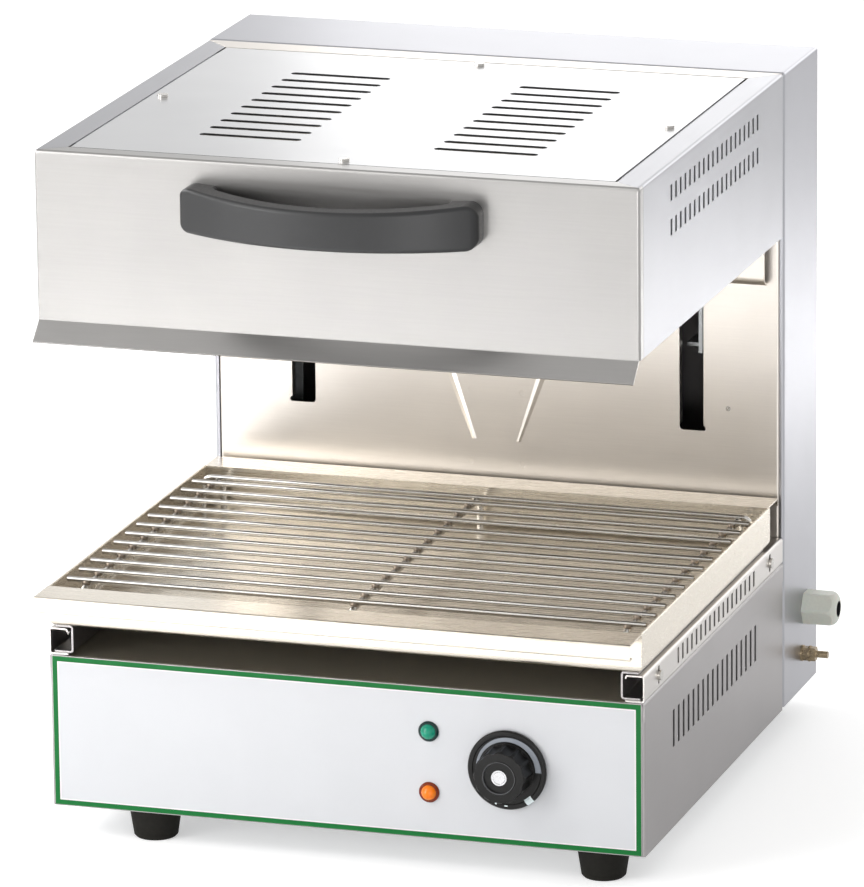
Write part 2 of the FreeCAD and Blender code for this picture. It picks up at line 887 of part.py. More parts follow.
def column_panel():
    plan = [(-panel_half, panel_return), (-panel_half, 0), (panel_half, 0),
            (panel_half, panel_return)]
    panel = folded("z", plan, sheet, 1, panel_bottom, panel_top)
    hole = block(slot_centre - slot_width / 2, slot_centre + slot_width / 2,
                 -overrun, overrun, slot_bottom, slot_top)
    corners = [e for e in hole.Edges if same(e.Length, 2 * overrun)]
    hole = hole.makeFillet(slot_corner, corners)
    panel = panel.cut(Part.makeCompound(both(hole)))
    low = slot_bottom + slot_flange_rise
    high = slot_top - slot_flange_rise
    outer_edge = slot_centre + slot_width / 2
    notch = block(slot_centre, outer_edge + slot_notch, -overrun, overrun, slot_bottom, low)
    corners = [e for e in notch.Edges if same(e.Length, 2 * overrun)
               and all(same(v.Point.x, outer_edge + slot_notch) for v in e.Vertexes)]
    notch = notch.makeFillet(slot_notch, corners)
    panel = panel.cut(Part.makeCompound(both(notch)))
    returns = []
    for edge, way in ((slot_centre - slot_width / 2, -1), (slot_centre + slot_width / 2, 1)):
        strip = block(min(edge, edge + way * sheet), max(edge, edge + way * sheet),
                      sheet / 2, slot_flange, low, high)
        returns += both(strip)
    panel = panel.fuse(returns)
    foot_level = base_top + flute_foot_rise
    head_level = foot_level + flute_height
    foot_x = flute_foot_place
    head_x = flute_foot_place + flute_lean * flute_height
    sections = []
    for x, z, width in ((foot_x, foot_level, flute_foot_width),
                        (head_x, head_level, flute_top_width)):
        rise = flute_depth if width > flute_foot_width else flute_depth / 2
        ridge = [V(x - width / 2, sheet / 2, z), V(x + width / 2, sheet / 2, z),
                 V(x + width / 2, 0, z), V(x, -rise, z), V(x - width / 2, 0, z)]
        sections.append(Part.makePolygon(ridge + ridge[:1]))
    flutes = both(Part.makeLoft(sections, True, True))
    panel = panel.fuse(flutes)
    dimples = []
    for side in (-1, 1):
        for rise in weld_rises:
            z = base_top + rise
            dimples.append(rod(V(side * weld_place, -overrun, z),
                               V(side * weld_place, weld_depth, z), weld_radius))
    keep("column_front_panel", cut_all(panel, rivet_holes() + dimples).removeSplitter())
    rivets = []
    for x, z in rivet_places():
        head = rod(V(x, -rivet_head, z), V(x, 0, z), rivet_head_radius)
        tail_start = sheet + guide_sheet
        body = rod(V(x, 0, z), V(x, tail_start, z), rivet_radius)
        tail = rod(V(x, tail_start, z), V(x, tail_start + rivet_tail, z), rivet_head_radius)
        rivets.append(head.fuse([body, tail]).removeSplitter())
    keep("panel_rivets", *rivets)


def guide_rails():
    """Each roller runs between the panel's back and the rail's rear flange."""
    rear = roller_plane + roller_radius + fit_gap
    inner_edge = roller_inner
    web = guide_inner
    low = column_bottom + guide_bottom_rise
    high = panel_top - guide_top_gap
    section = [(web + guide_sheet + guide_flange, sheet), (web, sheet), (web, rear),
               (inner_edge, rear)]
    rail = folded("z", section, guide_sheet, -1, low, high)
    keep("guide_rails", *both(cut_all(rail, rivet_holes())))


def arm_screw_places():
    x = carriage_inner - arm_flange + arm_screw_head_radius + touch_gap
    low = hood_bottom + arm_low_gap + arm_screw_inset
    high = carriage_top - arm_screw_inset
    return [(x, z) for z in (low, (low + high) / 2, high)]


def carriages():
    rear = carriage_front + carriage_depth
    arm_low = hood_bottom + arm_low_gap
    side_view = [(carriage_front, carriage_bottom), (rear, carriage_bottom),
                 (rear, carriage_top), (-rear_wall_set, carriage_top),
                 (-rear_wall_set, arm_low), (carriage_front, arm_low)]
    body = plate("x", side_view, carriage_inner, carriage_outer)
    wing = block(carriage_inner - arm_flange, carriage_outer, -rear_wall_set,
                 -rear_wall_set + carriage_sheet, arm_low, carriage_top)
    body = body.fuse(wing)
    body = body.removeSplitter()
    corner = edges_where(body, lambda p: same(p.x, carriage_outer)
                         and same(p.y, -rear_wall_set))
    body = body.makeFillet(bend + carriage_sheet / 2, corner)
    lug_rear = rope_plane + lug_margin
    lug = block(rope_outer - lug_margin, carriage_inner, rear - lug_margin, lug_rear,
                carriage_bottom, carriage_bottom + carriage_sheet)
    body = body.fuse(block(carriage_inner, carriage_outer, rear - lug_margin, lug_rear,
                           carriage_bottom, carriage_bottom + lug_height + carriage_sheet))
    ferrule = rod(V(rope_outer, rope_plane, carriage_bottom - lug_height),
                  V(rope_outer, rope_plane, carriage_bottom + carriage_sheet), anchor_radius)
    body = body.fuse([lug, ferrule]).removeSplitter()
    holes = []
    for z in roller_levels:
        holes.append(rod(V(carriage_inner - overrun, roller_plane, z),
                         V(carriage_outer + overrun, roller_plane, z),
                         roller_pin_radius + touch_gap))
    for x, z in arm_screw_places():
        holes.append(rod(V(x, -rear_wall_set - overrun, z), V(x, overrun, z),
                         arm_screw_radius + touch_gap))
    body = cut_all(body, holes)
    keep("carriage_plates", *both(body))
    screws = []
    for x, z in arm_screw_places():
        length = sheet + carriage_sheet
        tip = V(x, -rear_wall_set + carriage_sheet, z)
        screws += both(screw(tip, V(0, -1, 0), length, arm_screw_radius,
                             arm_screw_head_radius, arm_screw_head))
    keep("carriage_screws", *screws)


def rollers():
    pins = []
    for level, z in zip(("lower", "upper"), roller_levels):
        centre = V(roller_inner, roller_plane, z)
        section = [(roller_pin_radius + shaft_gap, 0), (roller_hub_radius, 0),
                   (roller_radius - roller_groove, 0), (roller_radius, roller_groove),
                   (roller_radius, roller_width - roller_groove),
                   (roller_radius - roller_groove, roller_width),
                   (roller_pin_radius + shaft_gap, roller_width)]
        wheel = turned("x", centre, section)
        keep("roller_right_" + level, wheel)
        keep("roller_left_" + level, mirrored(wheel))
        start = V(carriage_inner - roller_pin_head, roller_plane, z)
        pin = rod(start, V(roller_outer + roller_side_gap / 2, roller_plane, z),
                  roller_pin_radius)
        collar = rod(V(carriage_outer, roller_plane, z),
                     V(roller_inner - roller_side_gap / 2, roller_plane, z),
                     roller_pin_head_radius)
        cap = rod(start, V(carriage_inner, roller_plane, z), roller_pin_head_radius)
        pins += both(pin.fuse([collar, cap]).removeSplitter())
    keep("roller_pins", *pins)


def pulleys():
    plane = rope_plane
    half = pulley_width / 2
    axles = []
    centre = V(pulley_centre, plane - half, pulley_level)
    groove = rope_radius + fit_gap
    section = [(axle_radius + shaft_gap, 0), (pulley_outer, 0),
               (pulley_outer, half - 2 * groove), (pulley_root, half - groove),
               (pulley_root, half + groove), (pulley_outer, half + 2 * groove),
               (pulley_outer, pulley_width), (axle_radius + shaft_gap, pulley_width)]
    wheel = turned("y", centre, section)
    keep("pulley_right", wheel)
    keep("pulley_left", mirrored(wheel))
    reach = half + bracket_side_gap + bracket_sheet
    roof = column_top - sheet
    low = pulley_level - bracket_drop
    section = [(plane - reach, low), (plane - reach, roof), (plane + reach, roof),
               (plane + reach, low)]
    hanger = folded("x", section, bracket_sheet, -1, pulley_centre - bracket_half_width,
                    pulley_centre + bracket_half_width)
    pin_hole = rod(V(pulley_centre, 0, pulley_level),
                   V(pulley_centre, column_depth, pulley_level), axle_radius + shaft_gap)
    hanger = hanger.cut(pin_hole)
    keep("pulley_brackets", *both(hanger))
    pin = rod(V(pulley_centre, plane - reach, pulley_level),
              V(pulley_centre, plane + reach, pulley_level), axle_radius)
    ends = []
    for y in (plane - reach - axle_head, plane + reach):
        ends.append(rod(V(pulley_centre, y, pulley_level),
                        V(pulley_centre, y + axle_head, pulley_level), axle_head_radius))
    axles += both(pin.fuse(ends).removeSplitter())
    keep("pulley_axles", *axles)
    arc = Part.Wire([Part.Arc(
        V(rope_inner, plane, pulley_level),
        V(pulley_centre, plane, pulley_level + pulley_radius),
        V(rope_outer, plane, pulley_level)).toShape()])
    ring = Part.Wire([Part.makeCircle(rope_radius, V(rope_inner, plane, pulley_level),
                                      V(0, 0, 1))])
    keep("rope_over_pulleys", *both(arc.makePipeShell([ring], True, False)))
    hood_run = rod(V(rope_outer, plane, carriage_bottom + carriage_sheet),
                   V(rope_outer, plane, pulley_level), rope_radius)
    keep("rope_hood_side", *both(hood_run))
    weight_run = rod(V(rope_inner, plane, weight_top + anchor_height),
                     V(rope_inner, plane, pulley_level), rope_radius)
    keep("rope_weight_side", *both(weight_run))


def counterweight():
    body = block(-weight_half_width, weight_half_width, rope_plane - weight_depth / 2,
                 rope_plane + weight_depth / 2, weight_bottom, weight_top)
    body = body.makeChamfer(weight_chamfer, body.Edges)
    anchor = [(0, -anchor_height), (anchor_radius, -anchor_height),
              (anchor_radius, anchor_height / 2), (rope_radius, anchor_height),
              (0, anchor_height)]
    eyes = both(turned("z", V(rope_inner, rope_plane, weight_top), anchor))
    keep("counterweight", body.fuse(eyes).removeSplitter())


def hood_skin():
    """The hood's outer walls as one shell, cut into its panels further on."""
    outer = block(-half_width, half_width, -hood_reach, -hood_gap, hood_bottom, hood_top)
    soft = [e for e in outer.Edges
            if (same(e.Length, hood_height)
                and all(same(v.Point.y, -hood_reach) for v in e.Vertexes))
            or (all(same(v.Point.z, hood_top) for v in e.Vertexes)
                and not all(same(v.Point.y, -hood_gap) for v in e.Vertexes))]
    outer = outer.makeFillet(hood_corner, soft)
    half = half_width - sheet
    inner = block(-half, half, -hood_reach + sheet, -hood_gap + overrun,
                  hood_bottom - overrun, hood_top - sheet)
    gap = [e for e in inner.Edges if all(same(v.Point.y, -hood_reach + sheet)
                                         for v in e.Vertexes)
           and same(e.Length, hood_height - sheet + overrun)]
    inner = inner.makeFillet(hood_corner - sheet, gap)
    opening = block(-half_width + top_border_side, half_width - top_border_side,
                    -hood_reach + top_border_front, -top_border_rear - hood_gap,
                    hood_top - overrun, hood_top + overrun)
    return cut_all(outer, [inner, opening])


def mitre_region(kind, grow):
    """The plan area that one hood panel keeps, as a prism over the whole hood."""
    far = half_width + overrun
    front = -hood_reach
    back = -hood_gap
    side_in = half_width - top_border_side
    front_in = front + top_border_front
    back_in = back - top_border_rear
    if kind == "front":
        points = [(-far, front - overrun), (far, front - overrun),
                  (far, front + hood_seam_set), (half_width - sheet, front + hood_seam_set),
                  (half_width - sheet, front + sheet), (side_in, front_in),
                  (side_in, front_in + overrun), (-side_in, front_in + overrun),
                  (-side_in, front_in), (-half_width + sheet, front + sheet),
                  (-half_width + sheet, front + hood_seam_set), (-far, front + hood_seam_set)]
    else:
        points = [(far, back + overrun), (half_width, back), (side_in, back_in),
                  (side_in, front_in + grow), (half_width - sheet, front + sheet + grow),
                  (half_width - sheet, front + hood_seam_set + seam),
                  (far, front + hood_seam_set + seam)]
    return plate("z", points, hood_bottom - overrun, hood_top + overrun)


def hood_panels():
    skin = hood_skin()
    front_panel = skin.common(mitre_region("front", 0))
    lip_half = half_width - lip_inset
    fall = [(-hood_reach, hood_bottom + lip_fall), (-hood_reach, hood_bottom),
            (-hood_reach - lip_flare, hood_bottom - lip_fall)]
    lip = folded("x", fall, sheet, 1, -lip_half, lip_half)
    front_panel = front_panel.fuse(lip)
    screw_holes = []
    for x, z in handle_screw_places():
        screw_holes.append(rod(V(x, -hood_reach - overrun, z), V(x, -hood_reach + overrun, z),
                               handle_screw_radius + touch_gap))
    ledge_z = hood_top - sheet
    front_edge = -hood_reach + top_border_front
    front_ledge = block(-top_slot_centre, top_slot_centre, front_edge - ledge_lap,
                        front_edge + ledge_width, ledge_z - sheet, ledge_z)
    tab = block(half_width - 2 * sheet, half_width - sheet, -hood_reach + sheet,
                -hood_reach + hood_seam_set + corner_tab, hood_bottom + corner_tab,
                hood_top - corner_tab)
    front_panel = front_panel.fuse([front_ledge] + both(tab))
    front_panel = cut_all(front_panel, screw_holes + plate_screw_holes())
    keep("hood_front_panel", front_panel.removeSplitter())

    side = skin.common(mitre_region("side", seam))
    low_flange = block(half_width - hood_side_flange, half_width - sheet / 2,
                       -hood_reach + hood_seam_set + seam, rear_wall_front - side_gap,
                       hood_bottom, hood_bottom + sheet)
    side_in = half_width - top_border_side
    ledge = block(side_in - ledge_width, side_in + ledge_lap, front_edge + ledge_width + seam,
                  -top_border_rear - hood_gap - ledge_width - seam, ledge_z - sheet, ledge_z)
    corner = block(half_width - hood_seam_set, half_width - sheet, -hood_reach,
                   -hood_reach + hood_seam_set + seam, hood_bottom, hood_top - sheet)
    side = side.cut(corner).fuse([low_flange, ledge])
    slots = []
    for drop in hood_slot_rows:
        middle = hood_top - drop
        slots += side_slots(hood_slot_first, hood_slot_count, hood_slot_pitch,
                            hood_slot_width, middle - small_slot_height / 2,
                            middle + small_slot_height / 2, half_width)
    side = cut_all(side, slots + plate_screw_holes()).removeSplitter()
    keep("hood_side_right", side)
    keep("hood_side_left", mirrored(side))

    back = -hood_gap
    back_in = back - top_border_rear
    corner = half_width - 2 * seam
    border = plate("z", [(-corner, back), (corner, back),
                         (side_in - seam, back_in), (-side_in + seam, back_in)],
                   hood_top - sheet, hood_top)
    cap = block(-half_width + 2 * sheet, half_width - 2 * sheet, back - sheet, back,
                hood_top - rear_cap_drop, hood_top - sheet)
    wall_half = half_width - sheet
    wall_back = -rear_wall_set
    wall = block(-wall_half, wall_half, rear_wall_front, wall_back, hood_bottom - side_gap,
                 hood_top - sheet)
    tail = [(wall_back + skirt_return, skirt_bottom), (rear_wall_front, skirt_bottom),
            (rear_wall_front, hood_bottom - side_gap)]
    hem = folded("x", tail, sheet, -1, -skirt_half_width, skirt_half_width, skirt_radius)
    ledge_back = block(-top_slot_centre, top_slot_centre, back_in - ledge_width,
                       back_in + ledge_lap, ledge_z - sheet, ledge_z)
    rear = wall.fuse([hem, border, cap, ledge_back])
    holes = plate_screw_holes()
    for x, z in arm_screw_places():
        hole = rod(V(x, rear_wall_front - overrun, z), V(x, wall_back + sheet, z),
                   arm_screw_radius + touch_gap)
        holes += both(hole)
    keep("hood_rear_wall", cut_all(rear, holes).removeSplitter())


def plate_edges():
    return (half_width - top_border_side - plate_gap,
            -hood_reach + top_border_front + plate_front_gap,
            -hood_gap - top_border_rear - plate_gap)


def plate_screw_places():
    edge, front, back = plate_edges()
    middle = (front + back) / 2
    return [V(-edge + plate_screw_inset, middle, hood_top),
            V(edge - plate_screw_inset, middle, hood_top),
            V(0, front + plate_screw_inset, hood_top),
            V(0, back - plate_screw_inset, hood_top)]


def plate_screw_holes():
    up = V(0, 0, overrun)
    return [rod(p - up, p + up, plate_screw_radius + touch_gap) for p in plate_screw_places()]


def top_plate():
    edge, front, back = plate_edges()
    lid = block(-edge, edge, front, back, hood_top - sheet, hood_top)
    cutters = plate_screw_holes()
    for side in (-1, 1):
        for k in range(top_slot_count):
            spot_at = V(side * top_slot_centre, -top_slot_first - k * top_slot_pitch, hood_top)
            cutters.append(rounded_slot("z", spot_at, top_slot_length, top_slot_width,
                                        2 * overrun))
    keep("hood_top_plate", cut_all(lid, cutters))
    screws = []
    for place in plate_screw_places():
        tip = place - V(0, 0, plate_screw_length)
        screws.append(screw(tip, V(0, 0, 1), plate_screw_length, plate_screw_radius,
                            plate_screw_head_radius, plate_screw_head))
    keep("top_plate_screws", *screws)


def frustum(grow, low, high, slope):
    """A block whose four sides lean inwards on their way up."""
    x = half_width - hood_side_flange - reflector_edge_gap + grow
    front = -hood_reach + sheet + reflector_rim + reflector_edge_gap - grow
    back = rear_wall_front - reflector_rim - reflector_edge_gap + grow
    rings = []
    for z, lean in ((low, 0), (high, slope)):
        ring = [V(-x + lean, front + lean, z), V(x - lean, front + lean, z),
                V(x - lean, back - lean, z), V(-x + lean, back - lean, z)]
        rings.append(Part.makePolygon(ring + ring[:1]))
    return Part.makeLoft(rings, True, True)


def heater():
    low = hood_bottom + sheet
    high = low + reflector_height
    outer = frustum(0, low, high, reflector_slope)
    per_height = reflector_slope / reflector_height
    inner = frustum(-reflector_sheet + per_height * overrun, low - overrun,
                    high - reflector_sheet,
                    reflector_slope + per_height * (overrun - reflector_sheet))
    x = half_width - sheet - reflector_edge_gap
    front = -hood_reach + sheet + reflector_edge_gap
    back = rear_wall_front - reflector_edge_gap
    rim = block(-x, x, front, back, low, low + reflector_sheet)
    pan = rim.fuse(outer).cut(inner)
    level = high - element_drop
    holes = []
    for place in element_pair_places:
        for y in (-place - element_pitch / 2, -place + element_pitch / 2):
            holes.append(rod(V(0, y, level), V(half_width, y, level),
                             element_radius + touch_gap))
    keep("reflector", cut_all(pan, holes).removeSplitter())
    pad_x = half_width - hood_side_flange - reflector_slope - insulation_inset
    pad = block(-pad_x, pad_x, front + reflector_slope + insulation_inset + reflector_rim,
                back - reflector_slope - insulation_inset - reflector_rim, high,
                high + insulation_thickness)
    keep("insulation", pad)
    bushes = []
    for name, place in zip(("rear", "front"), element_pair_places):
        ys = (-place - element_pitch / 2, -place + element_pitch / 2)
        turn = element_pitch / 2
        left = -element_reach + turn
        path = Part.Wire([
            Part.LineSegment(V(element_end, ys[0], level), V(left, ys[0], level)).toShape(),
            Part.Arc(V(left, ys[0], level), V(left - turn, -place, level),
                     V(left, ys[1], level)).toShape(),
            Part.LineSegment(V(left, ys[1], level), V(element_end, ys[1], level)).toShape()])
        ring = Part.Wire([Part.makeCircle(element_radius, V(element_end, ys[0], level),
                                          V(-1, 0, 0))])
        keep("heating_element_" + name, path.makePipeShell([ring], True, False))
        for y in ys:
            outer_bush = rod(V(bush_inner_place, y, level),
                             V(bush_inner_place + bush_length, y, level), bush_radius)
            passage = rod(V(0, y, level), V(half_width, y, level),
                          element_radius + touch_gap)
            bushes.append(cut_all(outer_bush, [outer, passage]))
    keep("element_bushes", *bushes)
    combs = []
    first = min(element_pair_places) - element_pitch / 2 - support_margin
    last = max(element_pair_places) + element_pitch / 2 + support_margin
    for x_place in support_places:
        comb = block(x_place, x_place + support_sheet, -last, -first,
                     level - support_height / 2, high - reflector_sheet)
        eyes = []
        for place in element_pair_places:
            for y in (-place - element_pitch / 2, -place + element_pitch / 2):
                eyes.append(rod(V(x_place - overrun, y, level), V(x_place + overrun, y, level),
                                element_radius + touch_gap))
        combs.append(cut_all(comb, eyes))
    keep("element_supports", *combs)


def handle_screw_places():
    x = handle_length / 2 - handle_foot / 2
    z = hood_top - handle_drop + handle_height / 2
    return [(-x, z), (x, z)]


def handle():
    half = handle_length / 2
    inner = half - handle_foot
    face = -hood_reach
    front = face - handle_reach
    shoulder = face - handle_end_reach
    grip_back = front + handle_grip
    low = hood_top - handle_drop
    high = low + handle_height
    crook = face - handle_end_reach / 2
    edges = [
        Part.LineSegment(V(-half, face, low), V(-half, shoulder, low)),
        Part.Arc(V(-half, shoulder, low), V(0, front, low), V(half, shoulder, low)),
        Part.LineSegment(V(half, shoulder, low), V(half, face, low)),
        Part.LineSegment(V(half, face, low), V(inner, face, low)),
        Part.LineSegment(V(inner, face, low), V(inner, crook, low)),
        Part.Arc(V(inner, crook, low), V(0, grip_back, low), V(-inner, crook, low)),
        Part.LineSegment(V(-inner, crook, low), V(-inner, face, low)),
        Part.LineSegment(V(-inner, face, low), V(-half, face, low)),
    ]
    plan = Part.Face(Part.Wire([e.toShape() for e in edges]))
    bow = plan.extrude(V(0, 0, handle_height))
    shoulders = [e for e in bow.Edges if same(e.Length, handle_height)
                 and all(same(v.Point.y, shoulder) for v in e.Vertexes)]
    bow = bow.makeFillet(handle_end_radius, shoulders)
    crooks = [e for e in bow.Edges if same(e.Length, handle_height)
              and all(same(v.Point.y, crook) for v in e.Vertexes)]
    bow = bow.makeFillet(handle_crook_radius, crooks)
    y = face + overrun
    view = [
        Part.LineSegment(V(-half, y, low), V(-half, y, high)),
        Part.Arc(V(-half, y, high), V(0, y, high - handle_dip), V(half, y, high)),
        Part.LineSegment(V(half, y, high), V(half, y, low)),
        Part.LineSegment(V(half, y, low), V(-half, y, low)),
    ]
    front_view = Part.Face(Part.Wire([e.toShape() for e in view]))
    tall = front_view.extrude(V(0, -handle_reach - 2 * overrun, 0))
    corners = [e for e in tall.Edges if same(e.Length, handle_reach + 2 * overrun)]
    tall = tall.makeFillet(handle_face_corner, corners)
    bow = bow.common(tall).removeSplitter()
    long_edges = [e for e in bow.Edges
                  if e.CenterOfMass.y < shoulder and e.Length > handle_height + overrun]
    bow = bow.makeFillet(handle_edge, long_edges)
    holes = []
    for x, z in handle_screw_places():
        holes.append(rod(V(x, face + overrun, z), V(x, face - handle_screw_depth, z),
                         handle_screw_radius + shaft_gap))
    keep("handle", cut_all(bow, holes))
    screws = []
    for x, z in handle_screw_places():
        length = sheet + handle_screw_depth - touch_gap
        tip = V(x, face + sheet - length, z)
        screws.append(screw(tip, V(0, 1, 0), length, handle_screw_radius,
                            handle_screw_head_radius, handle_screw_head))
    keep("handle_screws", *screws)


def controls():
    centre = knob_centre()
    face = -overlay_thickness - knob_gap
    foot = face
    skirt = foot - knob_skirt
    top = -knob_total
    section = [(shaft_radius + shaft_gap, foot), (knob_radius - bend, foot),
               (knob_radius, foot - bend), (knob_radius, skirt + bend),
               (knob_radius - bend, skirt), (knob_radius - knob_rim, skirt),
               (knob_radius - knob_rim - knob_dish, skirt + knob_dish),
               (knob_hub_radius, skirt + knob_dish),
               (knob_hub_top_radius, top + bend), (knob_hub_top_radius - bend, top),
               (knob_recess_radius + 2 * knob_bead, top),
               (knob_recess_radius + 3 * knob_bead / 2, top - knob_bead),
               (knob_recess_radius + knob_bead / 2, top - knob_bead),
               (knob_recess_radius, top + knob_recess),
               (knob_cap_radius + shaft_gap, top + knob_recess),
               (knob_cap_radius + shaft_gap, top + knob_recess + knob_cap_seat),
               (shaft_radius + shaft_gap, top + knob_recess + knob_cap_seat)]
    body = turned("y", centre, section)
    grooves = []
    for k in range(knob_lobes):
        angle = 2 * math.pi * (k + 1 / 2) / knob_lobes
        ray = V(math.cos(angle), 0, math.sin(angle)) * (knob_valley_radius + knob_groove_radius)
        grooves.append(rod(centre + ray + V(0, skirt, 0), centre + ray + V(0, top - overrun, 0),
                           knob_groove_radius))
    body = cut_all(body, grooves)
    keep("knob", body)
    cap_back = centre + V(0, top + knob_recess + knob_cap_seat, 0)
    dish_radius = knob_cap_radius - knob_cap_rim
    cap = [(0, 0), (knob_cap_radius, 0), (knob_cap_radius, -knob_cap_thickness),
           (dish_radius, -knob_cap_thickness),
           (dish_radius - knob_cap_dish, knob_cap_dish - knob_cap_thickness),
           (0, knob_cap_dish - knob_cap_thickness)]
    keep("knob_cap", turned("y", cap_back, cap))
    shaft_end = centre + V(0, sheet + thermostat_wall_gap + knob_core_depth, 0)
    keep("thermostat_shaft", rod(cap_back, shaft_end, shaft_radius))
    back = centre + V(0, sheet, 0)
    bush = rod(centre + V(0, -overlay_thickness, 0), centre + V(0, sheet + thermostat_wall_gap, 0),
               bush_hole_radius - touch_gap)
    nut = rod(back, back + V(0, thermostat_nut_height, 0), thermostat_nut_radius)
    case_front = front_plane + sheet + thermostat_wall_gap
    case = block(centre.x - thermostat_width / 2, centre.x + thermostat_width / 2,
                 case_front, case_front + thermostat_depth,
                 centre.z - thermostat_height / 2, centre.z + thermostat_height / 2)
    case = case.makeFillet(bend, case.Edges)
    case = case.fuse([bush, nut]).cut(rod(centre - V(0, overrun, 0), shaft_end
                                          + V(0, touch_gap, 0), shaft_radius + shaft_gap))
    keep("thermostat_body", case.removeSplitter())
    lamps = []
    for name, place in zip(("orange", "green"), lamp_centres()):
        film = -overlay_thickness
        section = [(lamp_lens_radius + shaft_gap, film), (lamp_bezel_radius, film),
                   (lamp_bezel_radius, film - lamp_bezel / 2),
                   (lamp_bezel_radius - lamp_bezel / 2, film - lamp_bezel),
                   (lamp_lens_radius + shaft_gap, film - lamp_bezel)]
        bezel = turned("y", place, section)
        barrel = rod(place + V(0, film, 0), place + V(0, lamp_body_length, 0),
                     lamp_hole_radius - touch_gap)
        barrel = barrel.cut(rod(place + V(0, film, 0), place + V(0, sheet, 0),
                                lamp_lens_radius + shaft_gap))
        collar = rod(place + V(0, sheet, 0), place + V(0, sheet + lamp_nut_height, 0),
                     lamp_nut_radius)
        lamps.append(bezel.fuse([barrel, collar]).removeSplitter())
        lens = rod(place + V(0, sheet, 0), place + V(0, film - lamp_bezel, 0),
                   lamp_lens_radius)
        ball_radius = (lamp_lens_radius ** 2 + lamp_dome ** 2) / (2 * lamp_dome)
        hub = place + V(0, film - lamp_bezel - lamp_dome + ball_radius, 0)
        ball = Part.makeSphere(ball_radius, hub)
        room = rod(place + V(0, film - lamp_bezel, 0),
                   place + V(0, film - lamp_bezel - lamp_dome - overrun, 0), lamp_lens_radius)
        lens = lens.fuse(ball.common(room)).removeSplitter()
        keep("lamp_lens_" + name, lens)
    keep("lamp_bodies", *lamps)


def gland_and_stud():
    wall = V(column_half, gland_place, gland_level)
    bore = rod(wall - V(2 * gland_inside, 0, 0), V(gland_tip + overrun, wall.y, wall.z),
               gland_bore_radius)
    tube = rod(wall - V(gland_inside, 0, 0), wall + V(gland_flange, 0, 0),
               gland_hole_radius - touch_gap)
    seat = wall + V(gland_flange, 0, 0)
    collar = hexagon(wall, V(1, 0, 0), gland_flange_flats, gland_flange)
    collar = collar.common(rod(wall, seat, gland_flange_corner))
    keep("gland_body", tube.fuse(collar).cut(bore).removeSplitter())
    dome = rod(seat, V(gland_tip, seat.y, seat.z), gland_cap_corner)
    rim = [e for e in dome.Edges if all(same(v.Point.x, gland_tip) for v in e.Vertexes)]
    dome = dome.makeFillet(gland_dome_radius, rim)
    cap = hexagon(seat, V(1, 0, 0), gland_cap_flats, gland_cap_length)
    keep("gland_dome_nut", cap.common(dome).cut(bore).removeSplitter())
    inside = wall - V(sheet, 0, 0)
    nut = hexagon(inside, V(-1, 0, 0), gland_nut_flats, gland_nut_height)
    keep("gland_locknut", nut.cut(rod(wall - V(2 * gland_inside, 0, 0), wall,
                                      gland_hole_radius)))
    foot = V(column_half, earth_place, foot_height + earth_rise)
    inner_face = foot - V(sheet, 0, 0)
    stack = 2 * (earth_washer + earth_nut_height)
    stud = rod(inner_face, foot + V(stack, 0, 0), earth_radius)
    point = [(0, stack), (earth_radius, stack), (earth_tip_radius, stack + earth_tip_taper),
             (earth_tip_radius, earth_length), (0, earth_length)]
    tip = turned("x", foot, point)
    head = rod(inner_face - V(earth_head, 0, 0), inner_face, earth_head_radius)
    nuts = [stud.fuse([head, tip]).removeSplitter()]
    start = foot
    for kind in ("washer", "nut", "washer", "nut"):
        if kind == "washer":
            end = start + V(earth_washer, 0, 0)
            piece = rod(start, end, earth_washer_radius)
        else:
            end = start + V(earth_nut_height, 0, 0)
            piece = hexagon(start, V(1, 0, 0), earth_nut_flats, earth_nut_height)
        nuts.append(piece.cut(rod(foot, foot + V(earth_length, 0, 0), earth_radius)))
        start = end
    keep("earth_terminal", *nuts)
    floor = foot_height + sheet
    x1 = half_width - sheet - side_gap - bottom_flange
    x0 = x1 - terminal_length
    case = block(x0, x1, -terminal_front, -terminal_front + terminal_width, floor,
                 floor + terminal_height)
    ways = []
    pitch = terminal_length / terminal_hole_count
    for k in range(terminal_hole_count):
        x = x0 + (k + 1 / 2) * pitch
        y = -terminal_front + terminal_width / 2
        top = floor + terminal_height
        ways.append(rod(V(x, y, top - terminal_hole_depth), V(x, y, top + overrun),
                        terminal_hole_radius))
    keep("terminal_block", cut_all(case, ways))


def main():
    for make in (base_sides, base_front, base_plates, feet, housing_screws, rails,
                 tray_pan, wire_grid, column, column_cover, column_panel, guide_rails,
                 carriages, rollers, pulleys, counterweight, hood_panels, top_plate,
                 heater, handle, controls, gland_and_stud):
        make()
    os.makedirs("parts", exist_ok=True)
    for name, shape in PIECES.items():
        placed = shape.translated(frame_shift)
        if not placed.isValid():
            print("not valid:", name)
        placed.exportStep("parts/" + name + ".step")
    print(len(PIECES), "pieces, frame shift", frame_shift)


main()
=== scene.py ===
import math

import bmesh
import bpy
from mathutils import Matrix, Vector


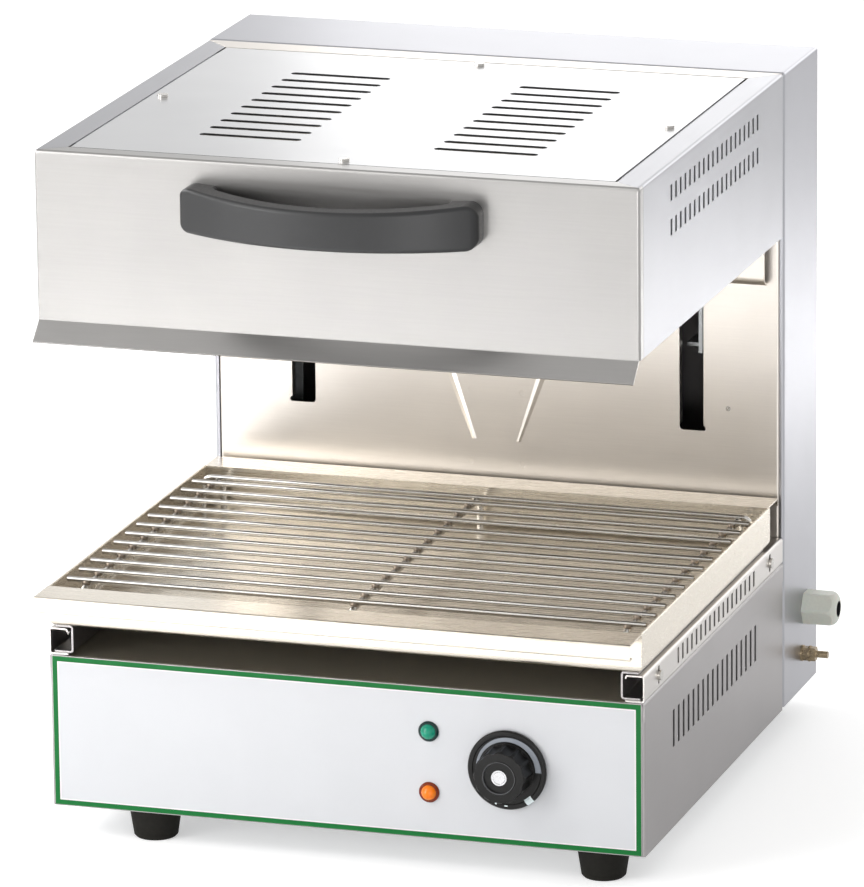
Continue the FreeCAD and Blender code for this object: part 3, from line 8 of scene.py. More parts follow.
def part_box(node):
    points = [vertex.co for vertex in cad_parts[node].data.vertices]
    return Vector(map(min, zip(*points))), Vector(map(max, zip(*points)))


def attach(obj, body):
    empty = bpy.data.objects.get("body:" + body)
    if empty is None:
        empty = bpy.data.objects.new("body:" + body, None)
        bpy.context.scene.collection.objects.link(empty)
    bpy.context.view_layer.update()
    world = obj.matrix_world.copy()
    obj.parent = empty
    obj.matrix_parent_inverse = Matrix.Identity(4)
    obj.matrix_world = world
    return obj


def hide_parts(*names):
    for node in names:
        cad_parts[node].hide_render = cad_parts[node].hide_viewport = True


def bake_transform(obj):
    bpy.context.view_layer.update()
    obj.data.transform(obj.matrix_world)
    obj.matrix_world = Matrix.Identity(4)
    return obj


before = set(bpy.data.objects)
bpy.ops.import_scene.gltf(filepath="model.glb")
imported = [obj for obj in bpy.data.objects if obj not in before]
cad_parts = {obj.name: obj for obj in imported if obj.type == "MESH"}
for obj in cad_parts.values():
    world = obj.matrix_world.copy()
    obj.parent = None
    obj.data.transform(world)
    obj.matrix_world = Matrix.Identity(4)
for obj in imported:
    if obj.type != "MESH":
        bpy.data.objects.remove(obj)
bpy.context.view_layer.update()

# Base housing: a low box of stainless steel sheet, 1.2 mm thick, sheared, punched and folded.
# Two slotted sides, a front, a top plate and a zinc-plated bottom plate are joined at their
# flanges.
MM = 0.001
BELT_GRAIN_WIDTH = 1.1 * MM
BELT_GRAIN_LENGTH = 38.0 * MM
EDGE_RADIUS = 0.5 * MM
# The body's stainless tone is set dark: painted shade on the base's sides, which stand low by the floor.
# The tray's runners and the column's rear cover share it.
BODY_PAINTED_SHADE_TONE = "#A6A3A3"
# The inner top plate's tone is raised: painted light, so that the shaded gap under the tray is not black.
INNER_PAINTED_LIGHT_TONE = "#C4BFB2"
ZINC_TONE = "#A9ACAE"
ZINC_SPANGLE = 7.0 * MM


def linear(colour):
    """An sRGB hex colour as the linear RGBA that Blender's sockets hold."""
    parts = [int(colour[place:place + 2], 16) / 255 for place in (1, 3, 5)]
    return [part / 12.92 if part < 0.04045 else ((part + 0.055) / 1.055) ** 2.4 for part in parts] + [1.0]


def add(tree, kind, sockets=None, **settings):
    """Adds a node: settings are its options, and sockets its inputs, each a value or an output to link."""
    made = tree.nodes.new(kind)
    for name, value in settings.items():
        setattr(made, name, value)
    for name, value in (sockets or {}).items():
        if isinstance(value, bpy.types.NodeSocket):
            tree.links.new(value, made.inputs[name])
        else:
            made.inputs[name].default_value = value
    return made


def new_finish(name, roughness, metallic=0.0):
    """A material with its node tree and its surface shader."""
    finish = bpy.data.materials.new(name)
    finish.use_nodes = True
    shader = finish.node_tree.nodes["Principled BSDF"]
    shader.inputs["Roughness"].default_value = roughness
    shader.inputs["Metallic"].default_value = metallic
    return finish, finish.node_tree, shader


def place_noise(tree, size, detail=2.0):
    """Noise fixed to the piece, whose grains are size = (x, y, z) metres long."""
    place = add(tree, "ShaderNodeTexCoord").outputs["Object"]
    stretched = add(tree, "ShaderNodeMapping", {"Vector": place, "Scale": [1 / side for side in size]})
    sockets = {"Vector": stretched.outputs["Vector"], "Scale": 1.0, "Detail": detail}
    return add(tree, "ShaderNodeTexNoise", sockets).outputs["Fac"]


def spread(tree, value, low, high):
    """A value of about 0.3 to 0.7, as noise gives, spread from low to high."""
    sockets = {"Value": value, "From Min": 0.3, "From Max": 0.7, "To Min": low, "To Max": high}
    return add(tree, "ShaderNodeMapRange", sockets).outputs["Result"]


def shade(tree, colour, factor):
    """A colour, as hex or as an output, made darker or lighter by a factor."""
    given = linear(colour) if isinstance(colour, str) else colour
    return add(tree, "ShaderNodeHueSaturation", {"Color": given, "Value": factor}).outputs["Color"]


def raise_surface(tree, shader, height, depth, edge=0.0):
    """Lets a height pattern of that depth catch the light, over corners eased to the radius edge."""
    sockets = {"Height": height, "Distance": depth, "Strength": 1.0}
    if edge:
        sockets["Normal"] = add(tree, "ShaderNodeBevel", {"Radius": edge}, samples=4).outputs["Normal"]
    tree.links.new(add(tree, "ShaderNodeBump", sockets).outputs["Normal"], shader.inputs["Normal"])


def paint_shade_on_cuts(tree, colour, factor):
    """Paints shade onto the sheared edges of a flat sheet that lies level, every face that isn't up or
    down, so that the walls of its slots look shaded.
    """
    normal = add(tree, "ShaderNodeNewGeometry").outputs["True Normal"]
    upward = add(tree, "ShaderNodeSeparateXYZ", {"Vector": normal}).outputs["Z"]
    level = add(tree, "ShaderNodeMath", {0: upward}, operation="ABSOLUTE").outputs[0]
    cut = add(tree, "ShaderNodeMapRange", {"Value": level, "From Min": 0.2, "From Max": 0.8,
                                           "To Min": factor, "To Max": 1.0}).outputs["Result"]
    return shade(tree, colour, cut)


def belt_ground_steel(name, tone, along, roughness=0.3, painted_cut_shade=1.0):
    """Stainless sheet, ground with a fine belt along one axis: a satin metal whose faint lines
    spread reflections across the grain. The real lines, about 0.1 mm apart, are too fine to show,
    so they are drawn 1.1 mm apart. A cut shade below 1 paints shade onto the sheared edges."""
    finish, tree, shader = new_finish(name, roughness, metallic=1.0)
    size = [BELT_GRAIN_LENGTH if axis == along else BELT_GRAIN_WIDTH for axis in "xyz"]
    lines = place_noise(tree, size)
    handling = place_noise(tree, [70 * MM] * 3)
    lit = shade(tree, tone, spread(tree, lines, 0.985, 1.015))
    lit = shade(tree, lit, spread(tree, handling, 0.975, 1.02))
    # Painted shade on the sheared edges.
    if painted_cut_shade < 1:
        lit = paint_shade_on_cuts(tree, lit, painted_cut_shade)
    tree.links.new(lit, shader.inputs["Base Color"])
    tree.links.new(spread(tree, lines, roughness - 0.015, roughness + 0.02), shader.inputs["Roughness"])
    raise_surface(tree, shader, lines, 0.006 * MM, EDGE_RADIUS)
    return finish


def zinc_plated_steel():
    """Hot-dip zinc-coated sheet: dull grey crystals, each a little lighter or darker than the next."""
    finish, tree, shader = new_finish("zinc_plated_steel", 0.42, metallic=1.0)
    place = add(tree, "ShaderNodeTexCoord").outputs["Object"]
    crystals = add(tree, "ShaderNodeTexVoronoi", {"Vector": place, "Scale": 1 / ZINC_SPANGLE})
    grey = add(tree, "ShaderNodeSeparateColor", {"Color": crystals.outputs["Color"]}).outputs["Red"]
    tree.links.new(shade(tree, ZINC_TONE, spread(tree, grey, 0.93, 1.05)), shader.inputs["Base Color"])
    raise_surface(tree, shader, grey, 0.01 * MM, EDGE_RADIUS)
    return finish


def dress(finish, *nodes):
    """Gives CAD nodes a finish."""
    for node in nodes:
        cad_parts[node].data.materials[0] = finish


body_steel = belt_ground_steel("belt_ground_stainless_body", BODY_PAINTED_SHADE_TONE, "y", 0.36)
inner_steel = belt_ground_steel("mill_finish_stainless_inner", INNER_PAINTED_LIGHT_TONE, "x", 0.5)
zinc_steel = zinc_plated_steel()
dress(body_steel, "base_side_left", "base_side_right", "base_front_panel")
dress(inner_steel, "base_top_plate")
dress(zinc_steel, "base_bottom_plate")

# Front overlay: a printed polyester film stuck over the front panel, pale grey with a green
# border and a thin white line inside it.
FILM_FIELD = "#C9CACD"
FILM_BORDER = "#00652A"
FILM_LINE = "#E4DDE0"
BORDER_WIDTH = 3.7 * MM
LINE_WIDTH = 0.9 * MM


def edge_band(tree, node, width):
    """1 within width of the outer edge of an upright sheet that faces the front, and 0 inside it."""
    low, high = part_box(node)
    centre = (low + high) / 2
    half = (high - low) / 2
    place = add(tree, "ShaderNodeTexCoord").outputs["Object"]
    parts = add(tree, "ShaderNodeSeparateXYZ", {"Vector": place}).outputs
    bands = []
    for axis in (0, 2):
        offset = add(tree, "ShaderNodeMath", {0: parts[axis], 1: centre[axis]}, operation="SUBTRACT")
        away = add(tree, "ShaderNodeMath", {0: offset.outputs[0]}, operation="ABSOLUTE")
        sockets = {0: away.outputs[0], 1: half[axis] - width}
        bands.append(add(tree, "ShaderNodeMath", sockets, operation="GREATER_THAN").outputs[0])
    return add(tree, "ShaderNodeMath", {0: bands[0], 1: bands[1]}, operation="MAXIMUM").outputs[0]


def blend_colours(tree, factor, first, second):
    """The first colour where the factor is 0 and the second where it is 1."""
    colours = [colour if isinstance(colour, bpy.types.NodeSocket) else linear(colour)
               for colour in (first, second)]
    sockets = {0: factor, 6: colours[0], 7: colours[1]}
    return add(tree, "ShaderNodeMix", sockets, data_type="RGBA").outputs[2]


def printed_polyester():
    """Screen-printed polyester film: flat even ink under a fine satin texture that breaks up glare."""
    finish, tree, shader = new_finish("printed_polyester_film", 0.42)
    field = shade(tree, FILM_FIELD, spread(tree, place_noise(tree, [40 * MM] * 3), 0.99, 1.01))
    line = edge_band(tree, "front_overlay", BORDER_WIDTH + LINE_WIDTH)
    border = edge_band(tree, "front_overlay", BORDER_WIDTH)
    lined = blend_colours(tree, line, field, FILM_LINE)
    inked = blend_colours(tree, border, lined, FILM_BORDER)
    tree.links.new(inked, shader.inputs["Base Color"])
    shader.inputs["Specular IOR Level"].default_value = 0.25
    raise_surface(tree, shader, place_noise(tree, [0.9 * MM] * 3), 0.01 * MM)
    return finish


dress(printed_polyester(), "front_overlay")

# Feet: four moulded rubber feet under the corners of the bottom plate, each held by a screw and
# a nut. The housing screws are these and the screws of the column's rear cover.
RUBBER_TONE = "#171612"
SCREW_TONE = "#C6C3BE"


def moulded_rubber():
    """Black moulded rubber: matt, with a fine dusty bloom."""
    finish, tree, shader = new_finish("moulded_rubber", 0.72)
    bloom = place_noise(tree, [3 * MM] * 3, detail=4.0)
    tree.links.new(shade(tree, RUBBER_TONE, spread(tree, bloom, 0.85, 1.25)), shader.inputs["Base Color"])
    shader.inputs["Specular IOR Level"].default_value = 0.2
    raise_surface(tree, shader, bloom, 0.05 * MM)
    return finish


def plated_screw_steel():
    """Nickel-plated steel: bright, with small scuffs from the driver."""
    finish, tree, shader = new_finish("nickel_plated_screw_steel", 0.24, metallic=1.0)
    scuffs = place_noise(tree, [0.8 * MM] * 3, detail=4.0)
    tree.links.new(shade(tree, SCREW_TONE, spread(tree, scuffs, 0.86, 1.06)), shader.inputs["Base Color"])
    tree.links.new(spread(tree, scuffs, 0.16, 0.36), shader.inputs["Roughness"])
    raise_surface(tree, shader, scuffs, 0.02 * MM, EDGE_RADIUS)
    return finish


screw_steel = plated_screw_steel()
dress(moulded_rubber(), "feet")
dress(screw_steel, "housing_screws")

# Rails: folded channels along both top edges of the base, screwed to it, with a row of slots.
# The tray's runners slide inside them.
dress(belt_ground_steel("belt_ground_stainless_rail", "#CFCBC7", "y", 0.3), "rail_left", "rail_right")
dress(screw_steel, "rail_screws")

# Drip tray: a pan of bright stainless sheet with a wide rolled front lip, on two folded runners
# that slide in the rails.
TRAY_TONE = "#E6DED1"


def bright_rolled_steel(name, tone, roughness=0.14):
    """Cold-rolled bright stainless: soft, slightly wavy reflections, wiped along one axis."""
    finish, tree, shader = new_finish(name, roughness, metallic=1.0)
    waves = place_noise(tree, [55 * MM] * 3)
    wipes = place_noise(tree, [BELT_GRAIN_LENGTH, BELT_GRAIN_WIDTH, BELT_GRAIN_WIDTH])
    tree.links.new(shade(tree, tone, spread(tree, wipes, 0.97, 1.02)), shader.inputs["Base Color"])
    tree.links.new(spread(tree, wipes, roughness - 0.03, roughness + 0.05), shader.inputs["Roughness"])
    raise_surface(tree, shader, waves, 0.4 * MM, EDGE_RADIUS)
    return finish


dress(bright_rolled_steel("bright_rolled_stainless_tray", TRAY_TONE, 0.26), "tray_pan")
dress(body_steel, "tray_runners")

# Wire grid: twelve 4 mm wires across three bars, with a rear wire on legs, resistance welded at
# every crossing and chromium plated. It lies in the tray's mouth.
WIRE_TONE = "#CBC8C3"
WELD_TONE = "#8B7F72"
WIRE_COUNT = 12
BAR_COUNT = 3
WIRE_DIAMETER = 4.0 * MM
BAR_DIAMETER = 5.0 * MM
WELD_RADIUS = 3.1 * MM
BAR_INSET = 14.0 * MM
FIRST_WIRE_INSET = 9.0 * MM
WIRE_SPAN = 272.5 * MM


def plated_wire():
    """Chromium-plated drawn wire: a bright round bar with dark lines where it mirrors the tray."""
    finish, tree, shader = new_finish("chromium_plated_wire", 0.16, metallic=1.0)
    drawn = place_noise(tree, [30 * MM, 1.5 * MM, 1.5 * MM])
    tree.links.new(shade(tree, WIRE_TONE, spread(tree, drawn, 0.92, 1.05)), shader.inputs["Base Color"])
    raise_surface(tree, shader, drawn, 0.02 * MM)
    return finish


def dark_weld_metal():
    """Plated-over weld metal at the crossings, drawn darker and browner than the wire."""
    finish, tree, shader = new_finish("plated_weld_metal", 0.4, metallic=0.9)
    heat = place_noise(tree, [4 * MM] * 3, detail=3.0)
    tree.links.new(shade(tree, WELD_TONE, spread(tree, heat, 0.7, 1.15)), shader.inputs["Base Color"])
    raise_surface(tree, shader, heat, 0.1 * MM)
    return finish


def add_piece(name, shape, finish):
    """A new object from a bmesh, which is used up."""
    mesh = bpy.data.meshes.new(name)
    shape.to_mesh(mesh)
    shape.free()
    mesh.materials.append(finish)
    piece = bpy.data.objects.new(name, mesh)
    bpy.context.scene.collection.objects.link(piece)
    for face in mesh.polygons:
        face.use_smooth = True
    return piece


def weld_places():
    """The crossings of the wires and the bars, halfway between the two axes."""
    low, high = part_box("wire_grid")
    level = high.z - WIRE_DIAMETER / 2 - (WIRE_DIAMETER + BAR_DIAMETER) / 4
    for bar in range(BAR_COUNT):
        x = low.x + BAR_INSET + bar * (high.x - low.x - 2 * BAR_INSET) / (BAR_COUNT - 1)
        for wire in range(WIRE_COUNT):
            y = low.y + FIRST_WIRE_INSET + wire * WIRE_SPAN / (WIRE_COUNT - 1)
            yield Vector((x, y, level))


wire_finish = plated_wire()
dress(wire_finish, "wire_grid")
welds = bmesh.new()
for centre in weld_places():
    bmesh.ops.create_icosphere(welds, subdivisions=2, radius=WELD_RADIUS, matrix=Matrix.Translation(centre))
grid_welds = add_piece("grid_welds", welds, dark_weld_metal())
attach(grid_welds, "grid")

# Column: an upright folded shell behind the tray, with a front panel, a screwed rear cover and
# short flutes pressed in its sides. Blind rivets hold the front panel.
COLUMN_TONE = "#AFAFB4"
# The front panel's tone is lighter and warmer than the shell's, though both are stainless: painted light,
# which the hood's rear wall shares.
PANEL_PAINTED_LIGHT_TONE = "#DED8D1"
column_steel = belt_ground_steel("belt_ground_stainless_column", COLUMN_TONE, "z", 0.34)
panel_steel = belt_ground_steel("belt_ground_stainless_panel", PANEL_PAINTED_LIGHT_TONE, "x", 0.34)
dress(column_steel, "column_shell")
dress(body_steel, "column_back_cover")
dress(panel_steel, "column_front_panel")
dress(screw_steel, "panel_rivets")

# Lift gear: two guide rails, two carriages on grooved rollers, and two wire ropes that run over
# pulleys to a cast-iron counterweight inside the column. The ropes' straight runs are new pieces
# that take the place of the CAD's runs.
NYLON_TONE = "#E7E4DA"
ROLLER_TONE = "#1F1E1D"
ROPE_TONE = "#8F8E8B"
IRON_TONE = "#3B3D3F"
SHAFT_TONE = "#B5B6B8"
ROPE_RADIUS = 1.5 * MM
ROPE_SIDES = 20


def turned_plastic(name, tone, roughness=0.42):
    """Machined or moulded nylon: waxy and faintly see-through."""
    finish, tree, shader = new_finish(name, roughness)
    skin = place_noise(tree, [2 * MM] * 3)
    tree.links.new(shade(tree, tone, spread(tree, skin, 0.97, 1.02)), shader.inputs["Base Color"])
    shader.inputs["Subsurface Weight"].default_value = 0.15
    shader.inputs["Subsurface Scale"].default_value = 1.5 * MM
    raise_surface(tree, shader, skin, 0.02 * MM)
    return finish


def stranded_rope():
    """Galvanised wire rope: seven strands laid round each other, drawn as slanting bands."""
    finish, tree, shader = new_finish("galvanised_wire_rope", 0.38, metallic=1.0)
    place = add(tree, "ShaderNodeTexCoord").outputs["Object"]
    tilted = add(tree, "ShaderNodeMapping", {"Vector": place, "Rotation": (0.6, 0.6, 0.0)})
    lay = add(tree, "ShaderNodeTexWave", {"Vector": tilted.outputs[0], "Scale": 1 / (9 * MM)},
              bands_direction="Z").outputs["Fac"]
    tree.links.new(shade(tree, ROPE_TONE, spread(tree, lay, 0.7, 1.1)), shader.inputs["Base Color"])
    raise_surface(tree, shader, lay, 0.2 * MM)
    return finish


def painted_cast_iron():
    """Sand-cast iron under dark enamel: a fine pebbled skin."""
    finish, tree, shader = new_finish("painted_cast_iron", 0.55)
    sand = place_noise(tree, [2.5 * MM] * 3, detail=4.0)
    tree.links.new(shade(tree, IRON_TONE, spread(tree, sand, 0.85, 1.15)), shader.inputs["Base Color"])
    raise_surface(tree, shader, sand, 0.3 * MM, 1.0 * MM)
    return finish


def ground_shaft_steel():
    """Ground round bar: bright, with a fine uneven grain in its polish."""
    finish, tree, shader = new_finish("ground_shaft_steel", 0.2, metallic=1.0)
    grain = place_noise(tree, [1 * MM] * 3)
    tree.links.new(shade(tree, SHAFT_TONE, spread(tree, grain, 0.93, 1.05)), shader.inputs["Base Color"])
    raise_surface(tree, shader, grain, 0.01 * MM)
    return finish


def straight_ropes(name, node, finish):
    """The two straight runs of one node, as two round rods in a new piece that takes the place
    of the node, which is hidden."""
    low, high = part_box(node)
    centre = (low + high) / 2
    runs = bmesh.new()
    for x in (low.x + ROPE_RADIUS, high.x - ROPE_RADIUS):
        place = Matrix.Translation((x, centre.y, centre.z))
        bmesh.ops.create_cone(runs, cap_ends=True, segments=ROPE_SIDES, radius1=ROPE_RADIUS,
                              radius2=ROPE_RADIUS, depth=high.z - low.z, matrix=place)
    piece = add_piece(name, runs, finish)
    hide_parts(node)
    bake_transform(piece)


nylon = turned_plastic("machined_nylon", NYLON_TONE)
shaft_steel = ground_shaft_steel()
rope = stranded_rope()
dress(zinc_steel, "guide_rails", "carriage_plates", "pulley_brackets")
dress(screw_steel, "carriage_screws")
dress(nylon, "pulley_left", "pulley_right")
dress(turned_plastic("moulded_black_nylon", ROLLER_TONE), "roller_left_lower", "roller_left_upper",
      "roller_right_lower", "roller_right_upper")
dress(shaft_steel, "roller_pins", "pulley_axles")
dress(rope, "rope_over_pulleys")
straight_ropes("ropes_to_hood", "rope_hood_side", rope)
straight_ropes("ropes_to_counterweight", "rope_weight_side", rope)
dress(painted_cast_iron(), "counterweight")

# Hood: the lift-up head, folded from five stainless sheets and welded at the corners, with a
# screwed top plate. Its front ends in a flared lip.
HOOD_TONE = "#AAA8A6"
SIDE_TONE = "#ACACB0"
# The top plate is stainless like the front and sides, but its tone is lighter: painted light on the hood's
# top.
TOP_PAINTED_LIGHT_TONE = "#CBCBCC"
hood_steel = belt_ground_steel("belt_ground_stainless_hood", HOOD_TONE, "x", 0.3)
hood_side_steel = belt_ground_steel("belt_ground_stainless_side", SIDE_TONE, "y", 0.32)
# The top plate's sheared edges get painted shade, which darkens the walls of its slots.
top_steel = belt_ground_steel("belt_ground_stainless_top", TOP_PAINTED_LIGHT_TONE, "x", 0.3, 0.18)
dress(hood_steel, "hood_front_panel")
dress(hood_side_steel, "hood_side_left", "hood_side_right")
dress(panel_steel, "hood_rear_wall")
dress(top_steel, "hood_top_plate")
dress(screw_steel, "top_plate_screws")

# Heater: two hairpin elements under a bright folded reflector, with a blanket of ceramic fibre
# above it. Porcelain bushes carry the terminals and strip brackets hold the loops.
SHEATH_TONE = "#4A4541"
PORCELAIN_TONE = "#E9E4D8"
FIBRE_TONE = "#E8E2D2"


def oxidised_sheath():
    """Nickel-alloy tube that has been red hot: dark, dry oxide with brown patches."""
    finish, tree, shader = new_finish("oxidised_alloy_sheath", 0.5, metallic=0.7)
    oxide = place_noise(tree, [9 * MM] * 3, detail=4.0)
    tree.links.new(shade(tree, SHEATH_TONE, spread(tree, oxide, 0.8, 1.25)), shader.inputs["Base Color"])
    tree.links.new(spread(tree, oxide, 0.42, 0.62), shader.inputs["Roughness"])
    raise_surface(tree, shader, oxide, 0.05 * MM)
    return finish


def glazed_porcelain():
    """Electrical porcelain: warm white under a thin clear glaze."""
    finish, tree, shader = new_finish("glazed_porcelain", 0.3)
    body = place_noise(tree, [4 * MM] * 3)
    tree.links.new(shade(tree, PORCELAIN_TONE, spread(tree, body, 0.97, 1.02)), shader.inputs["Base Color"])
    shader.inputs["Coat Weight"].default_value = 0.5
    raise_surface(tree, shader, body, 0.03 * MM)
    return finish


def ceramic_fibre():
    """Pressed ceramic-fibre blanket: soft, matt and cream, with short loose fibres."""
    finish, tree, shader = new_finish("ceramic_fibre_blanket", 0.95)
    fibres = place_noise(tree, [12 * MM, 12 * MM, 1.5 * MM], detail=5.0)
    tree.links.new(shade(tree, FIBRE_TONE, spread(tree, fibres, 0.85, 1.05)), shader.inputs["Base Color"])
    raise_surface(tree, shader, fibres, 0.6 * MM)
    return finish


dress(bright_rolled_steel("bright_rolled_stainless_reflector", "#C9C4BC", 0.2), "reflector")
dress(ceramic_fibre(), "insulation")
dress(oxidised_sheath(), "heating_element_front", "heating_element_rear")
dress(glazed_porcelain(), "element_bushes")
dress(zinc_steel, "element_supports")

# Handle: a black phenolic bow across the hood's front, compression moulded in one piece and held
# by two screws from inside.
PHENOLIC_TONE = "#1D1D1E"


def moulded_phenolic(name, tone, roughness):
    """Compression-moulded phenolic: hard, black, with a satin skin that shows soft highlights."""
    finish, tree, shader = new_finish(name, roughness)
    skin = place_noise(tree, [1.6 * MM] * 3, detail=3.0)
    tree.links.new(shade(tree, tone, spread(tree, skin, 0.9, 1.12)), shader.inputs["Base Color"])
    tree.links.new(spread(tree, skin, roughness - 0.04, roughness + 0.05), shader.inputs["Roughness"])
    raise_surface(tree, shader, skin, 0.02 * MM, EDGE_RADIUS)
    return finish


dress(moulded_phenolic("moulded_phenolic_handle", PHENOLIC_TONE, 0.4), "handle")
dress(screw_steel, "handle_screws")

# Thermostat and knob: a capillary thermostat behind the panel turns through a flatted shaft. Its
# knob has a dished skirt with a printed wedge scale, a fluted grip and a bright pressed cap.
KNOB_TONE = "#0D0C0B"
SCALE_TONE = "#8E939B"
# The pale tone of the two printed marks and of one painted reflection.
PRINT_AND_REFLECTION_TONE = "#E3EEF0"
RING_HIGHLIGHT_TONE = "#5C5D5F"
CAP_TONE = "#D8D8DA"
CASE_TONE = "#2B2A28"
SCALE_INNER = 21.4 * MM
SCALE_START = 1.4 * MM
SCALE_END = 4.9 * MM
SCALE_TURN = math.radians(195.0)
SCALE_LEAD = -0.12
# A painted highlight: a thin grey ring on the hub's raised bead, where it catches the light.
RING_HIGHLIGHT_RADIUS = 11.8 * MM
RING_HIGHLIGHT_WIDTH = 0.5 * MM
# The small pale marks: angle from the right, counterclockwise, then radius, width and height.
# The first, a 6 mm patch, is a painted reflection; the dash and the dot are printed.
PRINT_AND_REFLECTION_MARKS = ((-52.0, 26.9 * MM, 6.0 * MM, 4.8 * MM), (-91.5, 26.5 * MM, 2.4 * MM, 0.9 * MM),
         (-108.0, 26.5 * MM, 1.3 * MM, 1.3 * MM))


def print_and_reflection_mark(tree, local, turn, reach, width, height):
    """1 inside a small rectangle on the knob's face, and 0 outside it."""
    across, up = math.cos(math.radians(turn)), math.sin(math.radians(turn))
    inside = []
    for way, middle, size in (((across, 0, up), reach, height), ((-up, 0, across), 0.0, width)):
        along = add(tree, "ShaderNodeVectorMath", {0: local, 1: way}, operation="DOT_PRODUCT")
        sockets = {0: along.outputs["Value"], 1: middle, 2: size / 2}
        inside.append(add(tree, "ShaderNodeMath", sockets, operation="COMPARE"))
    sockets = {0: inside[0].outputs[0], 1: inside[1].outputs[0]}
    return add(tree, "ShaderNodeMath", sockets, operation="MULTIPLY").outputs[0]


def printed_knob():
    """Glossy black phenolic with a printed wedge on the skirt that grows from cool to hot, with two
    printed marks, a painted reflection and a painted highlight ring on the hub's bead.
    """
    finish, tree, shader = new_finish("moulded_phenolic_knob", 0.28)
    low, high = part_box("knob")
    centre = (low + high) / 2
    place = add(tree, "ShaderNodeTexCoord").outputs["Object"]
    local = add(tree, "ShaderNodeVectorMath", {0: place, 1: centre}, operation="SUBTRACT").outputs[0]
    parts = add(tree, "ShaderNodeSeparateXYZ", {"Vector": local}).outputs
    flat = add(tree, "ShaderNodeCombineXYZ", {"X": parts[0], "Z": parts[2]}).outputs[0]
    radius = add(tree, "ShaderNodeVectorMath", {0: flat}, operation="LENGTH").outputs["Value"]
    # The angle runs clockwise from the left, as seen from the front.
    back = add(tree, "ShaderNodeMath", {0: parts[0], 1: -1.0}, operation="MULTIPLY").outputs[0]
    angle = add(tree, "ShaderNodeMath", {0: parts[2], 1: back}, operation="ARCTAN2").outputs[0]
    share = add(tree, "ShaderNodeMapRange", {"Value": angle, "From Min": SCALE_LEAD, "From Max": SCALE_TURN,
                                             "To Min": SCALE_START, "To Max": SCALE_END})
    outer = add(tree, "ShaderNodeMath", {0: share.outputs[0], 1: SCALE_INNER}, operation="ADD").outputs[0]
    tests = [
        add(tree, "ShaderNodeMath", {0: radius, 1: SCALE_INNER}, operation="GREATER_THAN"),
        add(tree, "ShaderNodeMath", {0: radius, 1: outer}, operation="LESS_THAN"),
        add(tree, "ShaderNodeMath", {0: angle, 1: SCALE_LEAD}, operation="GREATER_THAN"),
    ]
    mask = tests[0].outputs[0]
    for test in tests[1:]:
        mask = add(tree, "ShaderNodeMath", {0: mask, 1: test.outputs[0]}, operation="MULTIPLY").outputs[0]
    skin = place_noise(tree, [1.4 * MM] * 3)
    inked = blend_colours(tree, mask, shade(tree, KNOB_TONE, spread(tree, skin, 0.9, 1.1)), SCALE_TONE)
    # Two printed marks and one painted reflection, in the same pale tone.
    for mark in PRINT_AND_REFLECTION_MARKS:
        inked = blend_colours(tree, print_and_reflection_mark(tree, local, *mark), inked, PRINT_AND_REFLECTION_TONE)
    # Painted highlight: the grey ring on the hub's bead.
    sockets = {0: radius, 1: RING_HIGHLIGHT_RADIUS, 2: RING_HIGHLIGHT_WIDTH / 2}
    ring = add(tree, "ShaderNodeMath", sockets, operation="COMPARE").outputs[0]
    tree.links.new(blend_colours(tree, ring, inked, RING_HIGHLIGHT_TONE), shader.inputs["Base Color"])
    shader.inputs["Specular IOR Level"].default_value = 0.3
    raise_surface(tree, shader, skin, 0.01 * MM, EDGE_RADIUS)
    return finish


def pressed_cap_metal():
    """Spun aluminium cap: bright, with small scuffs that break up its highlight."""
    finish, tree, shader = new_finish("spun_aluminium_cap", 0.2, metallic=1.0)
    scuffs = place_noise(tree, [0.8 * MM] * 3)
    tree.links.new(shade(tree, CAP_TONE, spread(tree, scuffs, 0.85, 1.05)), shader.inputs["Base Color"])
    raise_surface(tree, shader, scuffs, 0.02 * MM)
    return finish


dress(printed_knob(), "knob")
dress(pressed_cap_metal(), "knob_cap")
dress(shaft_steel, "thermostat_shaft")
dress(moulded_phenolic("moulded_phenolic_case", CASE_TONE, 0.45), "thermostat_body")

# Signal lamps: two neon lamps clipped in the panel, a green lens for the supply above an orange
# one for heating, each moulded in clear tinted polycarbonate with a darker rim.
GREEN_TONE = "#008A6E"
GREEN_RIM = "#062B29"
ORANGE_TONE = "#F07C00"
ORANGE_RIM = "#742802"


def tinted_lens(name, tone):
    """Tinted polycarbonate: saturated in the middle, with a sharp highlight on the dome."""
    finish, tree, shader = new_finish(name, 0.08)
    body = place_noise(tree, [3 * MM] * 3)
    tree.links.new(shade(tree, tone, spread(tree, body, 0.95, 1.05)), shader.inputs["Base Color"])
    shader.inputs["Subsurface Weight"].default_value = 0.3
    shader.inputs["Subsurface Scale"].default_value = 3 * MM
    shader.inputs["Coat Weight"].default_value = 0.2
    shader.inputs["Coat Roughness"].default_value = 0.03
    shader.inputs["Specular IOR Level"].default_value = 0.3
    return finish


def tinted_rims():
    """The lamps' rims in the dark tints of their lenses."""
    finish, tree, shader = new_finish("tinted_polycarbonate_rim", 0.15)
    low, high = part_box("lamp_bodies")
    place = add(tree, "ShaderNodeTexCoord").outputs["Object"]
    height = add(tree, "ShaderNodeSeparateXYZ", {"Vector": place}).outputs["Z"]
    upper = add(tree, "ShaderNodeMath", {0: height, 1: (low.z + high.z) / 2}, operation="GREATER_THAN")
    rims = blend_colours(tree, upper.outputs[0], ORANGE_RIM, GREEN_RIM)
    moulding = place_noise(tree, [2 * MM] * 3)
    tree.links.new(shade(tree, rims, spread(tree, moulding, 0.85, 1.1)), shader.inputs["Base Color"])
    shader.inputs["Specular IOR Level"].default_value = 0.3
    return finish


dress(tinted_lens("green_polycarbonate", GREEN_TONE), "lamp_lens_green")
dress(tinted_lens("orange_polycarbonate", ORANGE_TONE), "lamp_lens_orange")
dress(tinted_rims(), "lamp_bodies")

